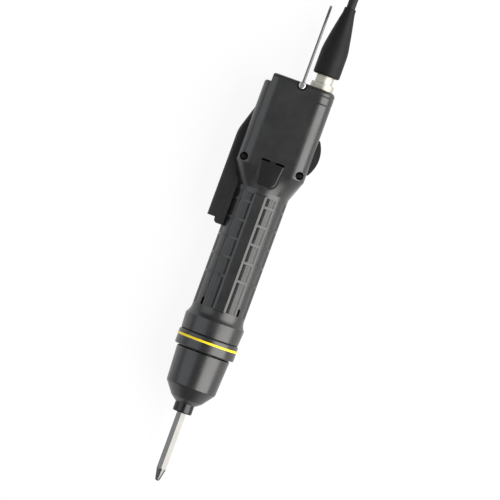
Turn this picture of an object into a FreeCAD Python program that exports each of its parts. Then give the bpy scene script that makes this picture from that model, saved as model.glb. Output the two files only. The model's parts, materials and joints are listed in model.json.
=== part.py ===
import FreeCAD, Part
import math
import os
import Sketcher

# An electric screwdriver for a workbench, lying on its back with its front
# face up.  It is drawn upright about its own axis: z runs from the bit towards
# the cord, z = 0 is the front edge of the grip, x points to the rocker's side
# and -y is the front.  Each piece is then laid down: the tool's z becomes +Y
# and its front faces +Z, with the flat back of the case on the bench.

V = FreeCAD.Vector

# name, millimetres (or degrees, or a count), what it measures
SIZES = (
    # fits
    ("seat_gap", 0.02, "radial play of a seated or pressed piece"),
    ("run_gap", 0.05, "radial play of a shaft, pin or sliding fit"),
    ("clear_gap", 0.35, "room between pieces that pass each other"),
    ("case_gap", 0.2, "room round a piece that the case halves hold"),
    ("bite", 1.0, "how far a joined or cutting form runs past a face"),
    # grip
    ("handle_radius", 18.4, "grip barrel radius"),
    ("handle_length", 102.9, "front edge of the grip to the neck"),
    ("case_wall", 2.2, "wall of the moulded case"),
    ("foot_length", 10.5, "flared foot at the front of the grip"),
    ("foot_proud", 2.3, "foot radius beyond the barrel"),
    ("foot_draft", 0.6, "taper of the foot towards its front edge"),
    ("flare_length", 2.8, "slope from the foot down to the barrel"),
    ("flare_cove", 9.0, "hollow where the slope runs into the barrel"),
    ("foot_round", 0.5, "rounding of the edge of the foot"),
    # grip pattern
    ("grip_start", 18.6, "front edge of the grip cells"),
    ("grip_margin", 3.4, "rear end of the cell columns to the neck"),
    ("cell_depth", 0.9, "depth of a grip cell"),
    ("cell_angle", 14.0, "centre line to the first column, degrees"),
    ("cell_span", 26.0, "width of the first column, degrees"),
    ("column_gap", 5.0, "web between the columns, degrees"),
    ("side_span", 35.0, "width of the second column, degrees"),
    ("rib_first", 22.4, "grip start to the first cross rib"),
    ("rib_pitch", 13.05, "cross rib to cross rib"),
    ("rib_width", 1.7, "width of a cross rib"),
    ("bead_radius", 1.0, "radius of the two beads on the centre strip"),
    ("bead_proud", 0.45, "how far a bead stands out"),
    ("bead_angle", 10.6, "centre line to a bead, degrees"),
    ("channel_radius", 0.75, "radius of the channel beside the centre strip"),
    ("channel_sink", 0.65, "depth of that channel's middle"),
    ("channel_angle", 17.4, "centre line to that channel, degrees"),
    ("slot_width", 2.0, "vent slot width"),
    ("slot_length", 5.4, "vent slot length"),
    ("slot_offset", 12.4, "centre line to a vent slot"),
    ("slot_rise", 21.1, "front edge of the grip to the vent slots"),
    # housing
    ("neck_length", 14.5, "slope from the grip out to the housing"),
    ("housing_half_width", 23.9, "half width of the housing"),
    ("housing_length", 62.5, "length of the housing"),
    ("housing_corner", 10.0, "corner radius across the housing"),
    ("housing_round", 3.0, "rounding of the housing's top edge"),
    ("step_width", 4.2, "step at the top of the lever side"),
    ("step_height", 6.2, "height of that step"),
    ("step_round", 1.8, "rounding of the step's two corners"),
    ("groove_depth", 0.9, "depth of the two grooves at the top"),
    ("groove_width", 1.3, "width of those grooves"),
    ("groove_drop", 4.7, "top of the case to the first groove"),
    ("groove_pitch", 5.5, "first groove to the second"),
    # case screws
    ("screw_inset", 4.3, "housing's side to a case screw"),
    ("screw_rise", 3.3, "start of the housing to the case screws"),
    ("screw_radius", 1.5, "case screw thread radius"),
    ("screw_length", 26.0, "case screw under its head"),
    ("screw_head_radius", 2.55, "case screw head radius"),
    ("screw_head_height", 2.2, "case screw head height"),
    ("screw_sink", 8.5, "front of the case to the screw head's seat"),
    ("boss_wall", 1.3, "wall round a screw or pin in the case"),
    # indicator window
    ("window_top", 8.3, "half width of the window at its top"),
    ("window_low", 6.5, "half width of the window above its round end"),
    ("window_length", 17.6, "length of the window"),
    ("window_round", 4.5, "corner radius of the window's lower end"),
    ("window_overlap", 6.3, "how far the window reaches over the housing"),
    ("window_thick", 1.4, "thickness of the window"),
    ("window_rim", 1.1, "rim of the case round the window"),
    ("light_width", 5.6, "width of a light slit"),
    ("light_height", 1.3, "height of a light slit"),
    ("light_gap", 4.2, "space between the two slits"),
    ("light_depth", 1.2, "depth of a slit"),
    # collar and torque ring
    ("joint_gap", 0.8, "dark joint between the grip and the collar"),
    ("collar_proud", 2.35, "collar radius beyond the grip barrel"),
    ("collar_length", 10.5, "collar length"),
    ("collar_round", 0.8, "rounding of the collar's edges"),
    ("marker_width", 1.5, "width of the coloured marker band"),
    ("marker_depth", 0.9, "thickness of the marker band"),
    ("marker_proud", 0.25, "how far the band stands out of the collar"),
    ("marker_rise", 3.6, "rear edge of the collar to the band's middle"),
    ("spigot_length", 5.0, "spigot of the case inside the collar"),
    ("spigot_wall", 1.9, "wall of that spigot"),
    ("nose_gap", 0.7, "dark joint between the collar and the torque ring"),
    ("nose_radius", 18.6, "torque ring radius at its rear"),
    ("nose_draft", 1.35, "taper of the torque ring's barrel"),
    ("barrel_length", 24.6, "length of the torque ring's barrel"),
    ("cone_length", 8.4, "length of its cone"),
    ("cone_drop", 6.35, "radius that the cone loses"),
    ("nose_round", 2.5, "rounding between the barrel and the cone"),
    ("tip_length", 2.8, "length of its blunt tip"),
    ("nose_bore", 15.2, "bore of the torque ring"),
    ("nose_front_wall", 2.4, "wall at the torque ring's front"),
    ("key_width", 3.2, "width of a key groove in the torque ring"),
    ("key_depth", 0.9, "depth of a key groove"),
    # chuck
    ("collet_radius", 6.65, "quick-change sleeve radius"),
    ("collet_reach", 6.6, "sleeve in front of the torque ring"),
    ("collet_length", 8.9, "length of the sleeve"),
    ("collet_lip", 1.8, "depth of the sleeve's mouth"),
    ("collet_land", 2.0, "length of the sleeve's sliding land"),
    ("collet_stroke", 2.5, "how far the sleeve slides back"),
    ("spindle_radius", 4.9, "spindle radius in the chuck"),
    ("spring_ring", 5.8, "outer radius of the rings on the spindle"),
    ("ring_thick", 0.7, "thickness of a retaining ring"),
    ("hex_flats", 6.35, "bit size across flats"),
    ("hex_play", 0.1, "play of the bit in its socket, across flats"),
    ("bit_reach", 48.4, "bit in front of the sleeve"),
    ("bit_depth", 13.8, "bit inside the chuck"),
    ("bit_taper", 8.4, "length of the bit's shaped tip"),
    ("bit_point", 1.0, "radius of the bit's blunt point"),
    ("ball_radius", 1.2, "locking ball radius"),
    ("ball_rise", 2.8, "sleeve's mouth to the locking ball"),
    ("collet_wire", 0.6, "wire of the sleeve's spring"),
    ("collet_turns", 4.0, "turns of the sleeve's spring"),
    # gear case and clutch
    ("tube_radius", 11.0, "threaded tube at the front of the gear case"),
    ("tube_length", 27.1, "length of that tube"),
    ("neck_land", 2.5, "land of the gear case under the torque ring"),
    ("clutch_wall", 2.6, "wall between the clutch and the gears"),
    ("bore_back", 7.5, "bore behind the spindle bearing"),
    ("bearing_outer", 9.5, "spindle bearing outer radius"),
    ("bearing_width", 5.0, "spindle bearing width"),
    ("bearing_front", 1.3, "front of the tube to the bearing"),
    ("gear_case_length", 31.7, "gear barrel behind the clutch wall"),
    ("nut_length", 5.0, "torque nut length"),
    ("nut_front", 5.4, "front of the tube to the torque nut"),
    ("nut_travel", 3.3, "travel of the torque nut"),
    ("clutch_wire", 2.0, "wire of the clutch spring"),
    ("clutch_radius", 13.1, "mean radius of the clutch spring"),
    ("clutch_turns", 3.0, "turns of the clutch spring"),
    ("washer_thick", 1.5, "thrust washer thickness"),
    ("clutch_ball", 1.6, "clutch ball radius"),
    ("ball_circle", 12.6, "circle of the clutch balls"),
    ("snap_width", 1.0, "width of the torque ring's snap ring"),
    # gears
    ("gear_wall", 1.5, "wall of the gear case round the gears"),
    ("sun_teeth", 12, "sun gear teeth"),
    ("planet_teeth", 15, "planet gear teeth"),
    ("gear_backlash", 0.12, "play between meshing teeth"),
    ("tooth_top", 0.9, "addendum in modules"),
    ("tooth_root", 1.25, "dedendum in modules"),
    ("ring_top", 0.7, "addendum of the ring gear in modules"),
    ("pressure_angle", 20.0, "pressure angle of the teeth, degrees"),
    ("ring_wall", 1.1, "wall of the ring gear"),
    ("ring_front", 0.45, "clutch wall to the ring gear"),
    ("ring_length", 22.0, "length of the ring gear"),
    ("pin_radius", 1.5, "planet pin radius"),
    ("low_width", 7.0, "width of the output planets"),
    ("high_width", 5.2, "width of the input planets"),
    ("carrier_thick", 2.6, "thickness of a planet carrier"),
    ("face_gap", 0.4, "axial play between gears and carriers"),
    # motor
    ("shaft_radius", 2.5, "motor shaft radius"),
    ("motor_bearing", 5.5, "motor bearing outer radius"),
    ("motor_bearing_width", 4.0, "motor bearing width"),
    ("plate_thick", 2.5, "rim of the motor's front plate"),
    ("plate_web", 4.5, "web of the front plate before its bearing"),
    ("can_length", 49.5, "motor can length"),
    ("can_wall", 1.0, "motor can wall"),
    ("core_length", 32.0, "stator and magnet length"),
    ("core_start", 7.5, "front of the can to the stator"),
    ("core_yoke", 2.4, "yoke of the stator"),
    ("slot_depth", 4.18, "depth of the stator slots"),
    ("air_gap", 0.5, "magnet to stator"),
    ("tooth_width", 3.4, "stator tooth width"),
    ("coil_space", 1.727, "winding to the middle of its slot"),
    ("coil_reach", 3.0, "winding beyond the stator's end"),
    ("cap_thick", 4.6, "motor's rear cap thickness"),
    ("stop_width", 2.0, "rib in the case behind the motor"),
    ("stop_reach", 2.4, "how far that rib reaches in"),
    # controls
    ("lever_proud", 5.7, "housing's side to the lever's outer face"),
    ("lever_half_width", 7.5, "half width of the lever"),
    ("lever_wall", 1.5, "side wall of the lever"),
    ("lever_face", 2.2, "outer wall of the lever"),
    ("lever_length", 60.0, "straight face of the lever"),
    ("lever_shoulder", 20.5, "curved shoulder above the straight face"),
    ("lever_drop", 41.0, "start of the housing down to the lever's end"),
    ("lever_pivot_inset", 6.5, "housing's side to the lever's pin"),
    ("lever_pivot_rise", 32.8, "start of the housing to the lever's pin"),
    ("lever_eye", 3.4, "radius of the lever's eye"),
    ("lever_pin_radius", 1.25, "lever pin radius"),
    ("lever_pin_length", 24.0, "lever pin length"),
    ("rail_proud", 0.2, "housing's side to the rail under the lever"),
    ("rail_half_width", 5.5, "half width of the rail"),
    ("rail_drop", 3.8, "rail below the lever's end"),
    ("rail_length", 39.0, "length of the rail"),
    ("lever_swing", 2.6, "room behind the lever for its travel"),
    ("rail_round", 2.5, "rounded lower corner of the rail"),
    ("lever_coil", 2.0, "mean radius of the lever's spring"),
    ("lever_wire", 0.5, "wire of the lever's spring"),
    ("lever_turns", 5.0, "turns of the lever's spring"),
    ("lever_spring_rise", 9.6, "lever's end to its spring"),
    ("lever_spring_sink", 4.9, "spring pocket in the rail"),
    ("rocker_rise", 18.0, "start of the housing to the rocker's middle"),
    ("rocker_radius", 21.8, "radius of the rocker's face"),
    ("rocker_proud", 4.5, "rocker beyond the housing's side"),
    ("rocker_half_length", 12.2, "half length of the rocker"),
    ("rocker_half_width", 5.0, "half width of the rocker"),
    ("rocker_sink", 0.9, "rocker cap inside the housing's side"),
    ("rocker_stem", 7.0, "half length of the rocker's stem"),
    ("rocker_pivot_inset", 6.4, "housing's side to the rocker's pin"),
    ("rocker_pin_radius", 1.0, "rocker pin radius"),
    ("rocker_room", 1.0, "room round the rocker's ends"),
    ("base_thick", 2.0, "plate of the rocker's switch"),
    ("base_inset", 11.9, "housing's side to the front of that plate"),
    ("base_half_length", 10.0, "half length of the switch plate"),
    ("ear_thick", 1.6, "ears that carry the rocker's pin"),
    # hanging bail
    ("bail_offset", 0.7, "centre line to the bail's screws"),
    ("bail_drop", 2.2, "top of the case to the bail's screws"),
    ("bail_length", 57.0, "screw to the top of the bail"),
    ("bail_wire", 0.9, "wire radius of the bail"),
    ("bail_eye", 2.7, "radius of the bail's eyes"),
    ("bail_screw", 1.5, "bail screw radius"),
    ("bail_head", 2.6, "bail screw head radius"),
    ("bail_head_height", 1.7, "bail screw head height"),
    ("bail_screw_length", 6.0, "bail screw inside the case"),
    ("pocket_radius", 3.5, "pocket round a bail screw"),
    ("pocket_depth", 4.2, "depth of that pocket"),
    # supply socket and plug
    ("socket_inset", 10.5, "housing's side to the supply socket's axis"),
    ("socket_radius", 6.9, "socket shell radius"),
    ("socket_wall", 0.9, "socket shell wall"),
    ("socket_depth", 9.0, "socket inside the case"),
    ("flange_radius", 7.9, "socket ring outside the case"),
    ("flange_height", 4.6, "height of that ring"),
    ("plug_neck", 5.6, "bare plug shell between ring and boot"),
    ("plug_wall", 1.0, "plug shell wall"),
    ("plug_step", 0.5, "step of the plug shell under the boot"),
    ("boot_radius", 9.2, "plug boot radius"),
    ("boot_length", 18.0, "straight part of the boot"),
    ("boot_taper", 30.0, "tapered part of the boot"),
    ("boot_end", 4.0, "radius of the boot's end"),
    ("contact_radius", 0.5, "socket contact radius"),
    ("contact_circle", 3.0, "circle of the contacts"),
    # control board
    ("board_length", 50.0, "length of the control board"),
    ("board_thick", 1.6, "thickness of the control board"),
    ("board_drop", 9.9, "top of the case to the board's end"),
    ("board_left_gap", 1.75, "lever's boss to the board"),
    ("board_right_gap", 2.1, "board to the rocker's switch"),
    ("board_stand", 8.2, "inner back wall to the board"),
    ("post_radius", 2.2, "posts under the board"),
    # cord
    ("cord_radius", 3.0, "supply cord radius"),
    ("hank_bend", 18.0, "innermost bend of the put-away hank"),
    ("coil_pitch", 6.6, "loop to loop, and layer to layer"),
    ("hank_run", 118.0, "straight run of the hank's loops"),
    ("hank_lap", 7.65, "lead on the bench beside the hank's first loops"),
)

doc = FreeCAD.newDocument("ElectricScrewdriver")
sheet = doc.addObject("Spreadsheet::Sheet", "Sizes")
for row, (name, number, meaning) in enumerate(SIZES, start=1):
    sheet.set(f"A{row}", name)
    sheet.set(f"B{row}", str(number))
    sheet.set(f"C{row}", meaning)
    sheet.setAlias(f"B{row}", name)
doc.recompute()


class Size:
    """A number together with the spreadsheet formula that gives it."""

    def __init__(self, text, value):
        self.text = text
        self.value = value

    def __add__(self, other):
        return joined(self, "+", other, self.value + number_of(other))

    def __radd__(self, other):
        return joined(other, "+", self, number_of(other) + self.value)

    def __sub__(self, other):
        return joined(self, "-", other, self.value - number_of(other))

    def __rsub__(self, other):
        return joined(other, "-", self, number_of(other) - self.value)

    def __mul__(self, other):
        return joined(self, "*", other, self.value * number_of(other))

    def __rmul__(self, other):
        return joined(other, "*", self, number_of(other) * self.value)

    def __truediv__(self, other):
        return joined(self, "/", other, self.value / number_of(other))

    def __neg__(self):
        return Size(f"(-{self.text})", -self.value)


def number_of(size):
    return size.value if isinstance(size, Size) else float(size)


def text_of(size):
    return size.text if isinstance(size, Size) else repr(float(size))


def joined(left, sign, right, value):
    return Size(f"({text_of(left)} {sign} {text_of(right)})", value)


def sine(degrees):
    return Size(f"sin({text_of(degrees)} * 1 deg)", math.sin(math.radians(number_of(degrees))))


def cosine(degrees):
    return Size(f"cos({text_of(degrees)} * 1 deg)", math.cos(math.radians(number_of(degrees))))


def root(size):
    return Size(f"sqrt({text_of(size)})", math.sqrt(number_of(size)))


class Sheet:
    """The sizes by name."""


S = Sheet()
for name, number, meaning in SIZES:
    setattr(S, name, Size(f"Sizes.{name}", float(sheet.get(name))))


# Helpers that make document objects whose sizes are tied to the sheet.

def tie(item, **sizes):
    for prop, size in sizes.items():
        if isinstance(size, Size):
            item.setExpression(prop, size.text)
        else:
            setattr(item, prop, size)


def put(item, x, y, z, rotation=FreeCAD.Rotation()):
    item.Placement = FreeCAD.Placement(V(number_of(x), number_of(y), number_of(z)), rotation)
    for axis, size in (("x", x), ("y", y), ("z", z)):
        if isinstance(size, Size):
            item.setExpression(f"Placement.Base.{axis}", size.text)
    return item


TURN = {
    "x": FreeCAD.Rotation(V(0, 1, 0), 90),
    "y": FreeCAD.Rotation(V(1, 0, 0), -90),
    "z": FreeCAD.Rotation(),
}


def block(name, x, y, z):
    """A box between pairs of limits."""
    item = doc.addObject("Part::Box", name)
    tie(item, Length=x[1] - x[0], Width=y[1] - y[0], Height=z[1] - z[0])
    return put(item, x[0], y[0], z[0])


def rod(name, radius, start, length, axis="z", turn=None):
    """A cylinder from a start point along an axis."""
    item = doc.addObject("Part::Cylinder", name)
    tie(item, Radius=radius, Height=length)
    return put(item, *start, turn or TURN[axis])


def ball(name, radius, centre):
    item = doc.addObject("Part::Sphere", name)
    tie(item, Radius=radius)
    return put(item, *centre)


def fused(name, *items):
    item = doc.addObject("Part::MultiFuse", name)
    item.Shapes = list(items)
    return item


def less(name, base, *tools):
    item = doc.addObject("Part::Cut", name)
    item.Base = base
    item.Tool = tools[0] if len(tools) == 1 else fused(name + "_tools", *tools)
    return item


def shared(name, first, second):
    item = doc.addObject("Part::Common", name)
    item.Base = first
    item.Tool = second
    return item


def group(name, *items):
    """Loose solids of one node, kept apart."""
    item = doc.addObject("Part::Compound", name)
    item.Links = list(items)
    return item


def fixed(name, shape):
    item = doc.addObject("Part::Feature", name)
    item.Shape = shape
    return item


def outline(body, name, plane, points, offset=None):
    """A closed outline on an origin plane, each corner tied to the sheet."""
    sketch = body.newObject("Sketcher::SketchObject", name)
    support = [item for item in body.Origin.OriginFeatures if item.Role == plane][0]
    sketch.AttachmentSupport = [(support, "")]
    sketch.MapMode = "FlatFace"
    if offset is not None:
        sketch.AttachmentOffset = FreeCAD.Placement(V(0, 0, number_of(offset)), FreeCAD.Rotation())
        sketch.setExpression("AttachmentOffset.Base.z", text_of(offset))
    corners = [V(number_of(u), number_of(v), 0) for u, v in points]
    count = len(corners)
    for index in range(count):
        edge = Part.LineSegment(corners[index], corners[(index + 1) % count])
        sketch.addGeometry(edge, False)
    for index in range(count):
        sketch.addConstraint(Sketcher.Constraint("Coincident", index, 2, (index + 1) % count, 1))
    for index, (u, v) in enumerate(points):
        for kind, size, axis in (("DistanceX", u, -2), ("DistanceY", v, -1)):
            if not isinstance(size, Size) and size == 0:
                sketch.addConstraint(Sketcher.Constraint("PointOnObject", index, 1, axis))
                continue
            place = Sketcher.Constraint(kind, -1, 1, index, 1, number_of(size))
            key = sketch.addConstraint(place)
            sketch.setExpression(f"Constraints[{key}]", text_of(size))
    return sketch


def turned(name, points):
    """A solid of revolution about z from corners (radius, height)."""
    body = doc.addObject("PartDesign::Body", name)
    sketch = outline(body, name + "_profile", "XZ_Plane", points)
    feature = body.newObject("PartDesign::Revolution", name + "_turn")
    feature.Profile = sketch
    feature.ReferenceAxis = (sketch, ["V_Axis"])
    feature.Angle = 360
    return body


def ring(name, inner, outer, low, high):
    return turned(name, [(inner, low), (outer, low), (outer, high), (inner, high)])


def extruded(name, points, length, plane="XZ_Plane"):
    """An outline padded to both sides of its plane."""
    body = doc.addObject("PartDesign::Body", name)
    sketch = outline(body, name + "_profile", plane, points)
    feature = body.newObject("PartDesign::Pad", name + "_pad")
    feature.Profile = sketch
    feature.SideType = "Symmetric"
    tie(feature, Length=length)
    return body


def rounded(body, radius, wanted):
    """Round the edges of a body's last feature that the test picks."""
    doc.recompute()
    last = body.Tip
    edges = [f"Edge{i}" for i, edge in enumerate(last.Shape.Edges, start=1) if wanted(edge)]
    feature = body.newObject("PartDesign::Fillet", f"{body.Name}_round{len(body.Group)}")
    feature.Base = (last, edges)
    tie(feature, Radius=radius)
    return body


def circle_at(radius, height):
    """Pick the circular edge of this radius and height about the axis."""
    def wanted(edge):
        if not isinstance(edge.Curve, Part.Circle):
            return False
        near = abs(edge.Curve.Radius - number_of(radius)) < 0.01
        return near and abs(edge.Curve.Center.z - number_of(height)) < 0.01
    return wanted


def prism(name, half_width, half_depth, corner, low, high):
    """An upright block with rounded corners about the tool's axis."""
    body = doc.addObject("PartDesign::Body", name)
    points = [
        (-half_width, -half_depth),
        (half_width, -half_depth),
        (half_width, half_depth),
        (-half_width, half_depth),
    ]
    sketch = outline(body, name + "_profile", "XY_Plane", points, low)
    feature = body.newObject("PartDesign::Pad", name + "_pad")
    feature.Profile = sketch
    tie(feature, Length=high - low)
    upright = lambda edge: abs(edge.tangentAt(edge.FirstParameter).z) > 0.99
    return rounded(body, corner, upright)


def loft_to_housing(name, radius, half_width, half_depth, corner, low, high):
    """A ruled slope from a round section to the housing's section."""
    w, d, c = half_width.value, half_depth.value, corner.value
    square = [
        V(w, -(d - c), 0), V(w, d - c, 0), V(w - c, d, 0), V(-(w - c), d, 0),
        V(-w, d - c, 0), V(-w, -(d - c), 0), V(-(w - c), -d, 0), V(w - c, -d, 0),
    ]
    lower, upper = [], []
    for index, start in enumerate(square):
        end = square[(index + 1) % 8]
        first = V(start).normalize() * radius.value
        last = V(end).normalize() * radius.value
        middle = (first + last).normalize() * radius.value
        lower.append(Part.Arc(first, middle, last).toShape())
        if index % 2 == 0:
            upper.append(Part.LineSegment(start, end).toShape())
        else:
            sx, sy = math.copysign(1, start.x), math.copysign(1, start.y)
            corner_mid = V(sx * (w - c + c * math.sqrt(0.5)), sy * (d - c + c * math.sqrt(0.5)), 0)
            upper.append(Part.Arc(start, corner_mid, end).toShape())
    round_wire = Part.Wire(lower)
    square_wire = Part.Wire(upper)
    round_wire.translate(V(0, 0, low.value))
    square_wire.translate(V(0, 0, high.value))
    return fixed(name, Part.makeLoft([round_wire, square_wire], True, True))


# Levels along the axis, each from the one beside it.
collar_radius = S.handle_radius + S.collar_proud
lie_height = collar_radius + S.marker_proud
bore_radius = S.handle_radius - S.case_wall
barrel_radius = bore_radius - S.case_gap
neck_start = S.handle_length
housing_start = neck_start + S.neck_length
housing_top = housing_start + S.housing_length
case_inside_top = housing_top - S.case_wall
collar_rear = -S.joint_gap
collar_front = collar_rear - S.collar_length
nose_rear = collar_front - S.nose_gap
nose_cone = nose_rear - S.barrel_length
nose_tip = nose_cone - S.cone_length
nose_front = nose_tip - S.tip_length
collet_front = nose_front - S.collet_reach
bit_tip = collet_front - S.bit_reach
front_depth = lie_height
origin_height = housing_start + S.housing_length / 2
screw_offset = S.housing_half_width - S.screw_inset
socket_offset = S.housing_half_width - S.socket_inset
lever_reach = S.housing_half_width + S.lever_proud
lever_inner = S.handle_radius + S.lever_swing
lever_pivot_in = S.housing_half_width - S.lever_pivot_inset
lever_bottom = housing_start - S.lever_drop
rail_reach = S.housing_half_width + S.rail_proud
rocker_pivot_in = S.housing_half_width - S.rocker_pivot_inset

FAR = 200.0
everywhere = (-FAR, FAR)

# Case: one outer form and one cavity, split into two moulded halves.
foot_radius = S.handle_radius + S.foot_proud
grip_outer = turned("grip_outer", [
    (0, 0),
    (foot_radius - S.foot_draft, 0),
    (foot_radius, S.foot_length),
    (S.handle_radius, S.foot_length + S.flare_length),
    (S.handle_radius, neck_start),
    (0, neck_start),
])
rounded(grip_outer, S.flare_cove, circle_at(S.handle_radius, S.foot_length + S.flare_length))
rounded(grip_outer, S.foot_round, circle_at(foot_radius, S.foot_length))
grip_spigot = rod("grip_spigot", bore_radius + S.spigot_wall, (0, 0, -S.spigot_length), S.spigot_length + 1)
neck_outer = loft_to_housing("neck_outer", S.handle_radius, S.housing_half_width, front_depth,
                             S.housing_corner, neck_start, housing_start)
housing_outer = prism("housing_outer", S.housing_half_width, front_depth, S.housing_corner,
                      housing_start, housing_top)
rounded(housing_outer, S.housing_round,
        lambda edge: all(abs(v.Z - housing_top.value) < 0.01 for v in edge.Vertexes))

# Grip cells: columns of sectors on both faces, crossed by ribs that stay.
grip_end = S.handle_length - S.grip_margin
grip_length = grip_end - S.grip_start
rib_count = int((grip_length - S.rib_first).value / S.rib_pitch.value) + 1
columns = ((S.cell_angle, S.cell_span), (S.cell_angle + S.cell_span + S.column_gap, S.side_span))
ribs = []
for number in range(rib_count):
    rib_low = S.grip_start + S.rib_first + number * S.rib_pitch - S.rib_width / 2
    ribs.append(rod(f"rib_{number}", S.handle_radius + 2, (0, 0, rib_low), S.rib_width))
cell_floor = rod("cell_floor", S.handle_radius - S.cell_depth, (0, 0, 0), S.handle_length)
cell_keep = fused("cell_keep", cell_floor, *ribs)


def grip_cells(face, middle):
    """The recessed cells of one face, whose centre line is at an angle."""
    sectors = []
    for number, (start, span) in enumerate(columns):
        for side, begin in (("a", middle + start), ("b", middle - start - span)):
            sector = doc.addObject("Part::Cylinder", f"cells_{face}_{side}{number}")
            tie(sector, Radius=S.handle_radius + 1, Height=grip_length, Angle=span)
            put(sector, 0, 0, S.grip_start, FreeCAD.Rotation(V(0, 0, 1), begin.value))
            sector.setExpression("Placement.Rotation.Angle", begin.text)
            sectors.append(sector)
    return less(f"cells_{face}", fused(f"sectors_{face}", *sectors), cell_keep, rail)


def grip_channels(face, middle):
    """The channels along the inner sides of one face's first columns, broken by the ribs."""
    reach = S.handle_radius - S.channel_sink
    channels = []
    for side, angle in (("a", middle + S.channel_angle), ("b", middle - S.channel_angle)):
        start = (reach * cosine(angle), reach * sine(angle), S.grip_start)
        channels.append(rod(f"channel_{face}_{side}", S.channel_radius, start, grip_length))
    return less(f"channels_{face}", fused(f"channel_rods_{face}", *channels), *ribs)


def grip_beads(face, sign):
    """The flat centre strip of one face, and the two round-ended beads that border it."""
    beads = []
    reach = S.handle_radius + S.bead_proud - S.bead_radius
    strip_x = reach * sine(S.bead_angle)
    strip_top = reach * cosine(S.bead_angle) + S.bead_radius * 0.8
    strip_root = S.handle_radius - S.case_wall / 2
    strip_y = (-strip_top, -strip_root) if sign < 0 else (strip_root, strip_top)
    beads.append(block(f"strip_{face}", (-strip_x, strip_x), strip_y,
                       (S.grip_start + S.bead_radius / 2, grip_end - S.bead_radius / 2)))
    for side, label in ((-1, "left"), (1, "right")):
        x = side * reach * sine(S.bead_angle)
        y = sign * reach * cosine(S.bead_angle)
        beads.append(rod(f"bead_{face}_{label}", S.bead_radius, (x, y, S.grip_start), grip_length))
        beads.append(ball(f"bead_{face}_{label}_low", S.bead_radius, (x, y, S.grip_start)))
        beads.append(ball(f"bead_{face}_{label}_high", S.bead_radius, (x, y, grip_end)))
    return beads


# Housing details that are cut from or added to the outer form.
step_block = block("step_block", (-FAR, -(S.housing_half_width - S.step_width)), everywhere,
                   (housing_top - S.step_height, FAR))
step_corners = []
for number, (x, z) in enumerate((
        (-(S.housing_half_width - S.step_width), housing_top),
        (-S.housing_half_width, housing_top - S.step_height))):
    corner = block(f"step_corner_{number}", (x - 1, x + S.step_round), everywhere, (z - S.step_round, z + 1))
    core = rod(f"step_core_{number}", S.step_round + S.run_gap, (x + S.step_round, -FAR, z - S.step_round),
               2 * FAR, "y")
    step_corners.append(less(f"step_cut_{number}", corner, core))
grooves = []
for number in range(2):
    groove_low = housing_top - S.groove_drop - number * S.groove_pitch
    groove_core = prism(f"groove_core_{number}", S.housing_half_width - S.groove_depth,
                        front_depth - S.groove_depth, S.housing_corner - S.groove_depth,
                        groove_low, groove_low + S.groove_width)
    groove_block = block(f"groove_block_{number}", (S.housing_half_width - S.housing_corner, FAR),
                         everywhere, (groove_low, groove_low + S.groove_width))
    grooves.append(less(f"groove_{number}", groove_block, groove_core))

window_head = housing_start + S.window_overlap
window_foot = window_head - S.window_length


def shield(name, rim):
    """The window's outline, widened by a rim, through the whole case."""
    body = extruded(name, [
        (-(S.window_low + rim), window_foot - rim),
        (S.window_low + rim, window_foot - rim),
        (S.window_top + rim, window_head),
        (-(S.window_top + rim), window_head),
    ], 2 * front_depth)
    foot = number_of(window_foot - rim)
    return rounded(body, S.window_round + rim,
                   lambda edge: all(abs(v.Z - foot) < 0.01 for v in edge.Vertexes)
                   and abs(edge.tangentAt(edge.FirstParameter).y) > 0.99)


window_back = -(front_depth - S.window_thick)
window_pad = shared("window_pad", shield("pad_outline", S.window_rim),
                    block("pad_span", everywhere, (-FAR, -(S.handle_radius - S.case_wall / 2)), everywhere))
window_recess = shared("window_recess", shield("recess_outline", S.seat_gap * 2),
                       block("recess_span", everywhere, (-FAR, window_back + S.seat_gap), everywhere))
light_slits = fused("light_slits", *[
    block(f"light_slit_{number}", limits, (-FAR, -(front_depth - S.window_thick - S.light_depth)),
          (window_head - S.light_height, window_head + S.seat_gap * 2))
    for number, limits in enumerate((
        (-(S.light_gap / 2 + S.light_width), -S.light_gap / 2),
        (S.light_gap / 2, S.light_gap / 2 + S.light_width)))])

rail_low = lever_bottom - S.rail_drop
rail = extruded("rail", [
    (-rail_reach, rail_low),
    (-(S.handle_radius - S.case_wall / 2), rail_low),
    (-(S.handle_radius - S.case_wall / 2), rail_low + S.rail_length),
    (-rail_reach, rail_low + S.rail_length),
], 2 * S.rail_half_width)
rounded(rail, S.rail_round,
        lambda edge: all(abs(v.Z - rail_low.value) + abs(v.X + rail_reach.value) < 0.01
                         for v in edge.Vertexes))
lever_pivot = housing_start + S.lever_pivot_rise
lever_top = lever_bottom + S.lever_length + S.lever_shoulder
slot_side = S.lever_half_width + S.clear_gap
lever_slot = block("lever_slot", (-FAR, -S.handle_radius), (-slot_side, slot_side),
                   (neck_start, lever_top + S.clear_gap * 2))
lever_mouth = block("lever_mouth", (-FAR, -(lever_pivot_in - S.lever_eye - S.clear_gap)),
                    (-slot_side, slot_side),
                    (lever_pivot - S.lever_eye * 4, lever_top + S.clear_gap * 2))

case_form = fused("case_form", grip_outer, grip_spigot, neck_outer, housing_outer)
case_cut = less("case_cut", case_form, step_block, *step_corners, lever_slot, lever_mouth, *grooves)
case_solid = fused("case_solid", case_cut, rail, window_pad)

# Cavity, with the posts and bosses left standing in it.
inner_width = S.housing_half_width - S.case_wall
inner_depth = front_depth - S.case_wall
inner_corner = S.housing_corner - S.case_wall
grip_bore = rod("grip_bore", bore_radius, (0, 0, -S.spigot_length - 1), S.spigot_length + 1 + neck_start)
neck_inner = loft_to_housing("neck_inner", bore_radius, inner_width, inner_depth, inner_corner,
                             neck_start, housing_start)
housing_inner = prism("housing_inner", inner_width, inner_depth, inner_corner, housing_start, case_inside_top)
step_inner = block("step_inner", (-FAR, -(S.housing_half_width - S.step_width - S.case_wall)), everywhere,
                   (housing_top - S.step_height - S.case_wall, FAR))

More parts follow.
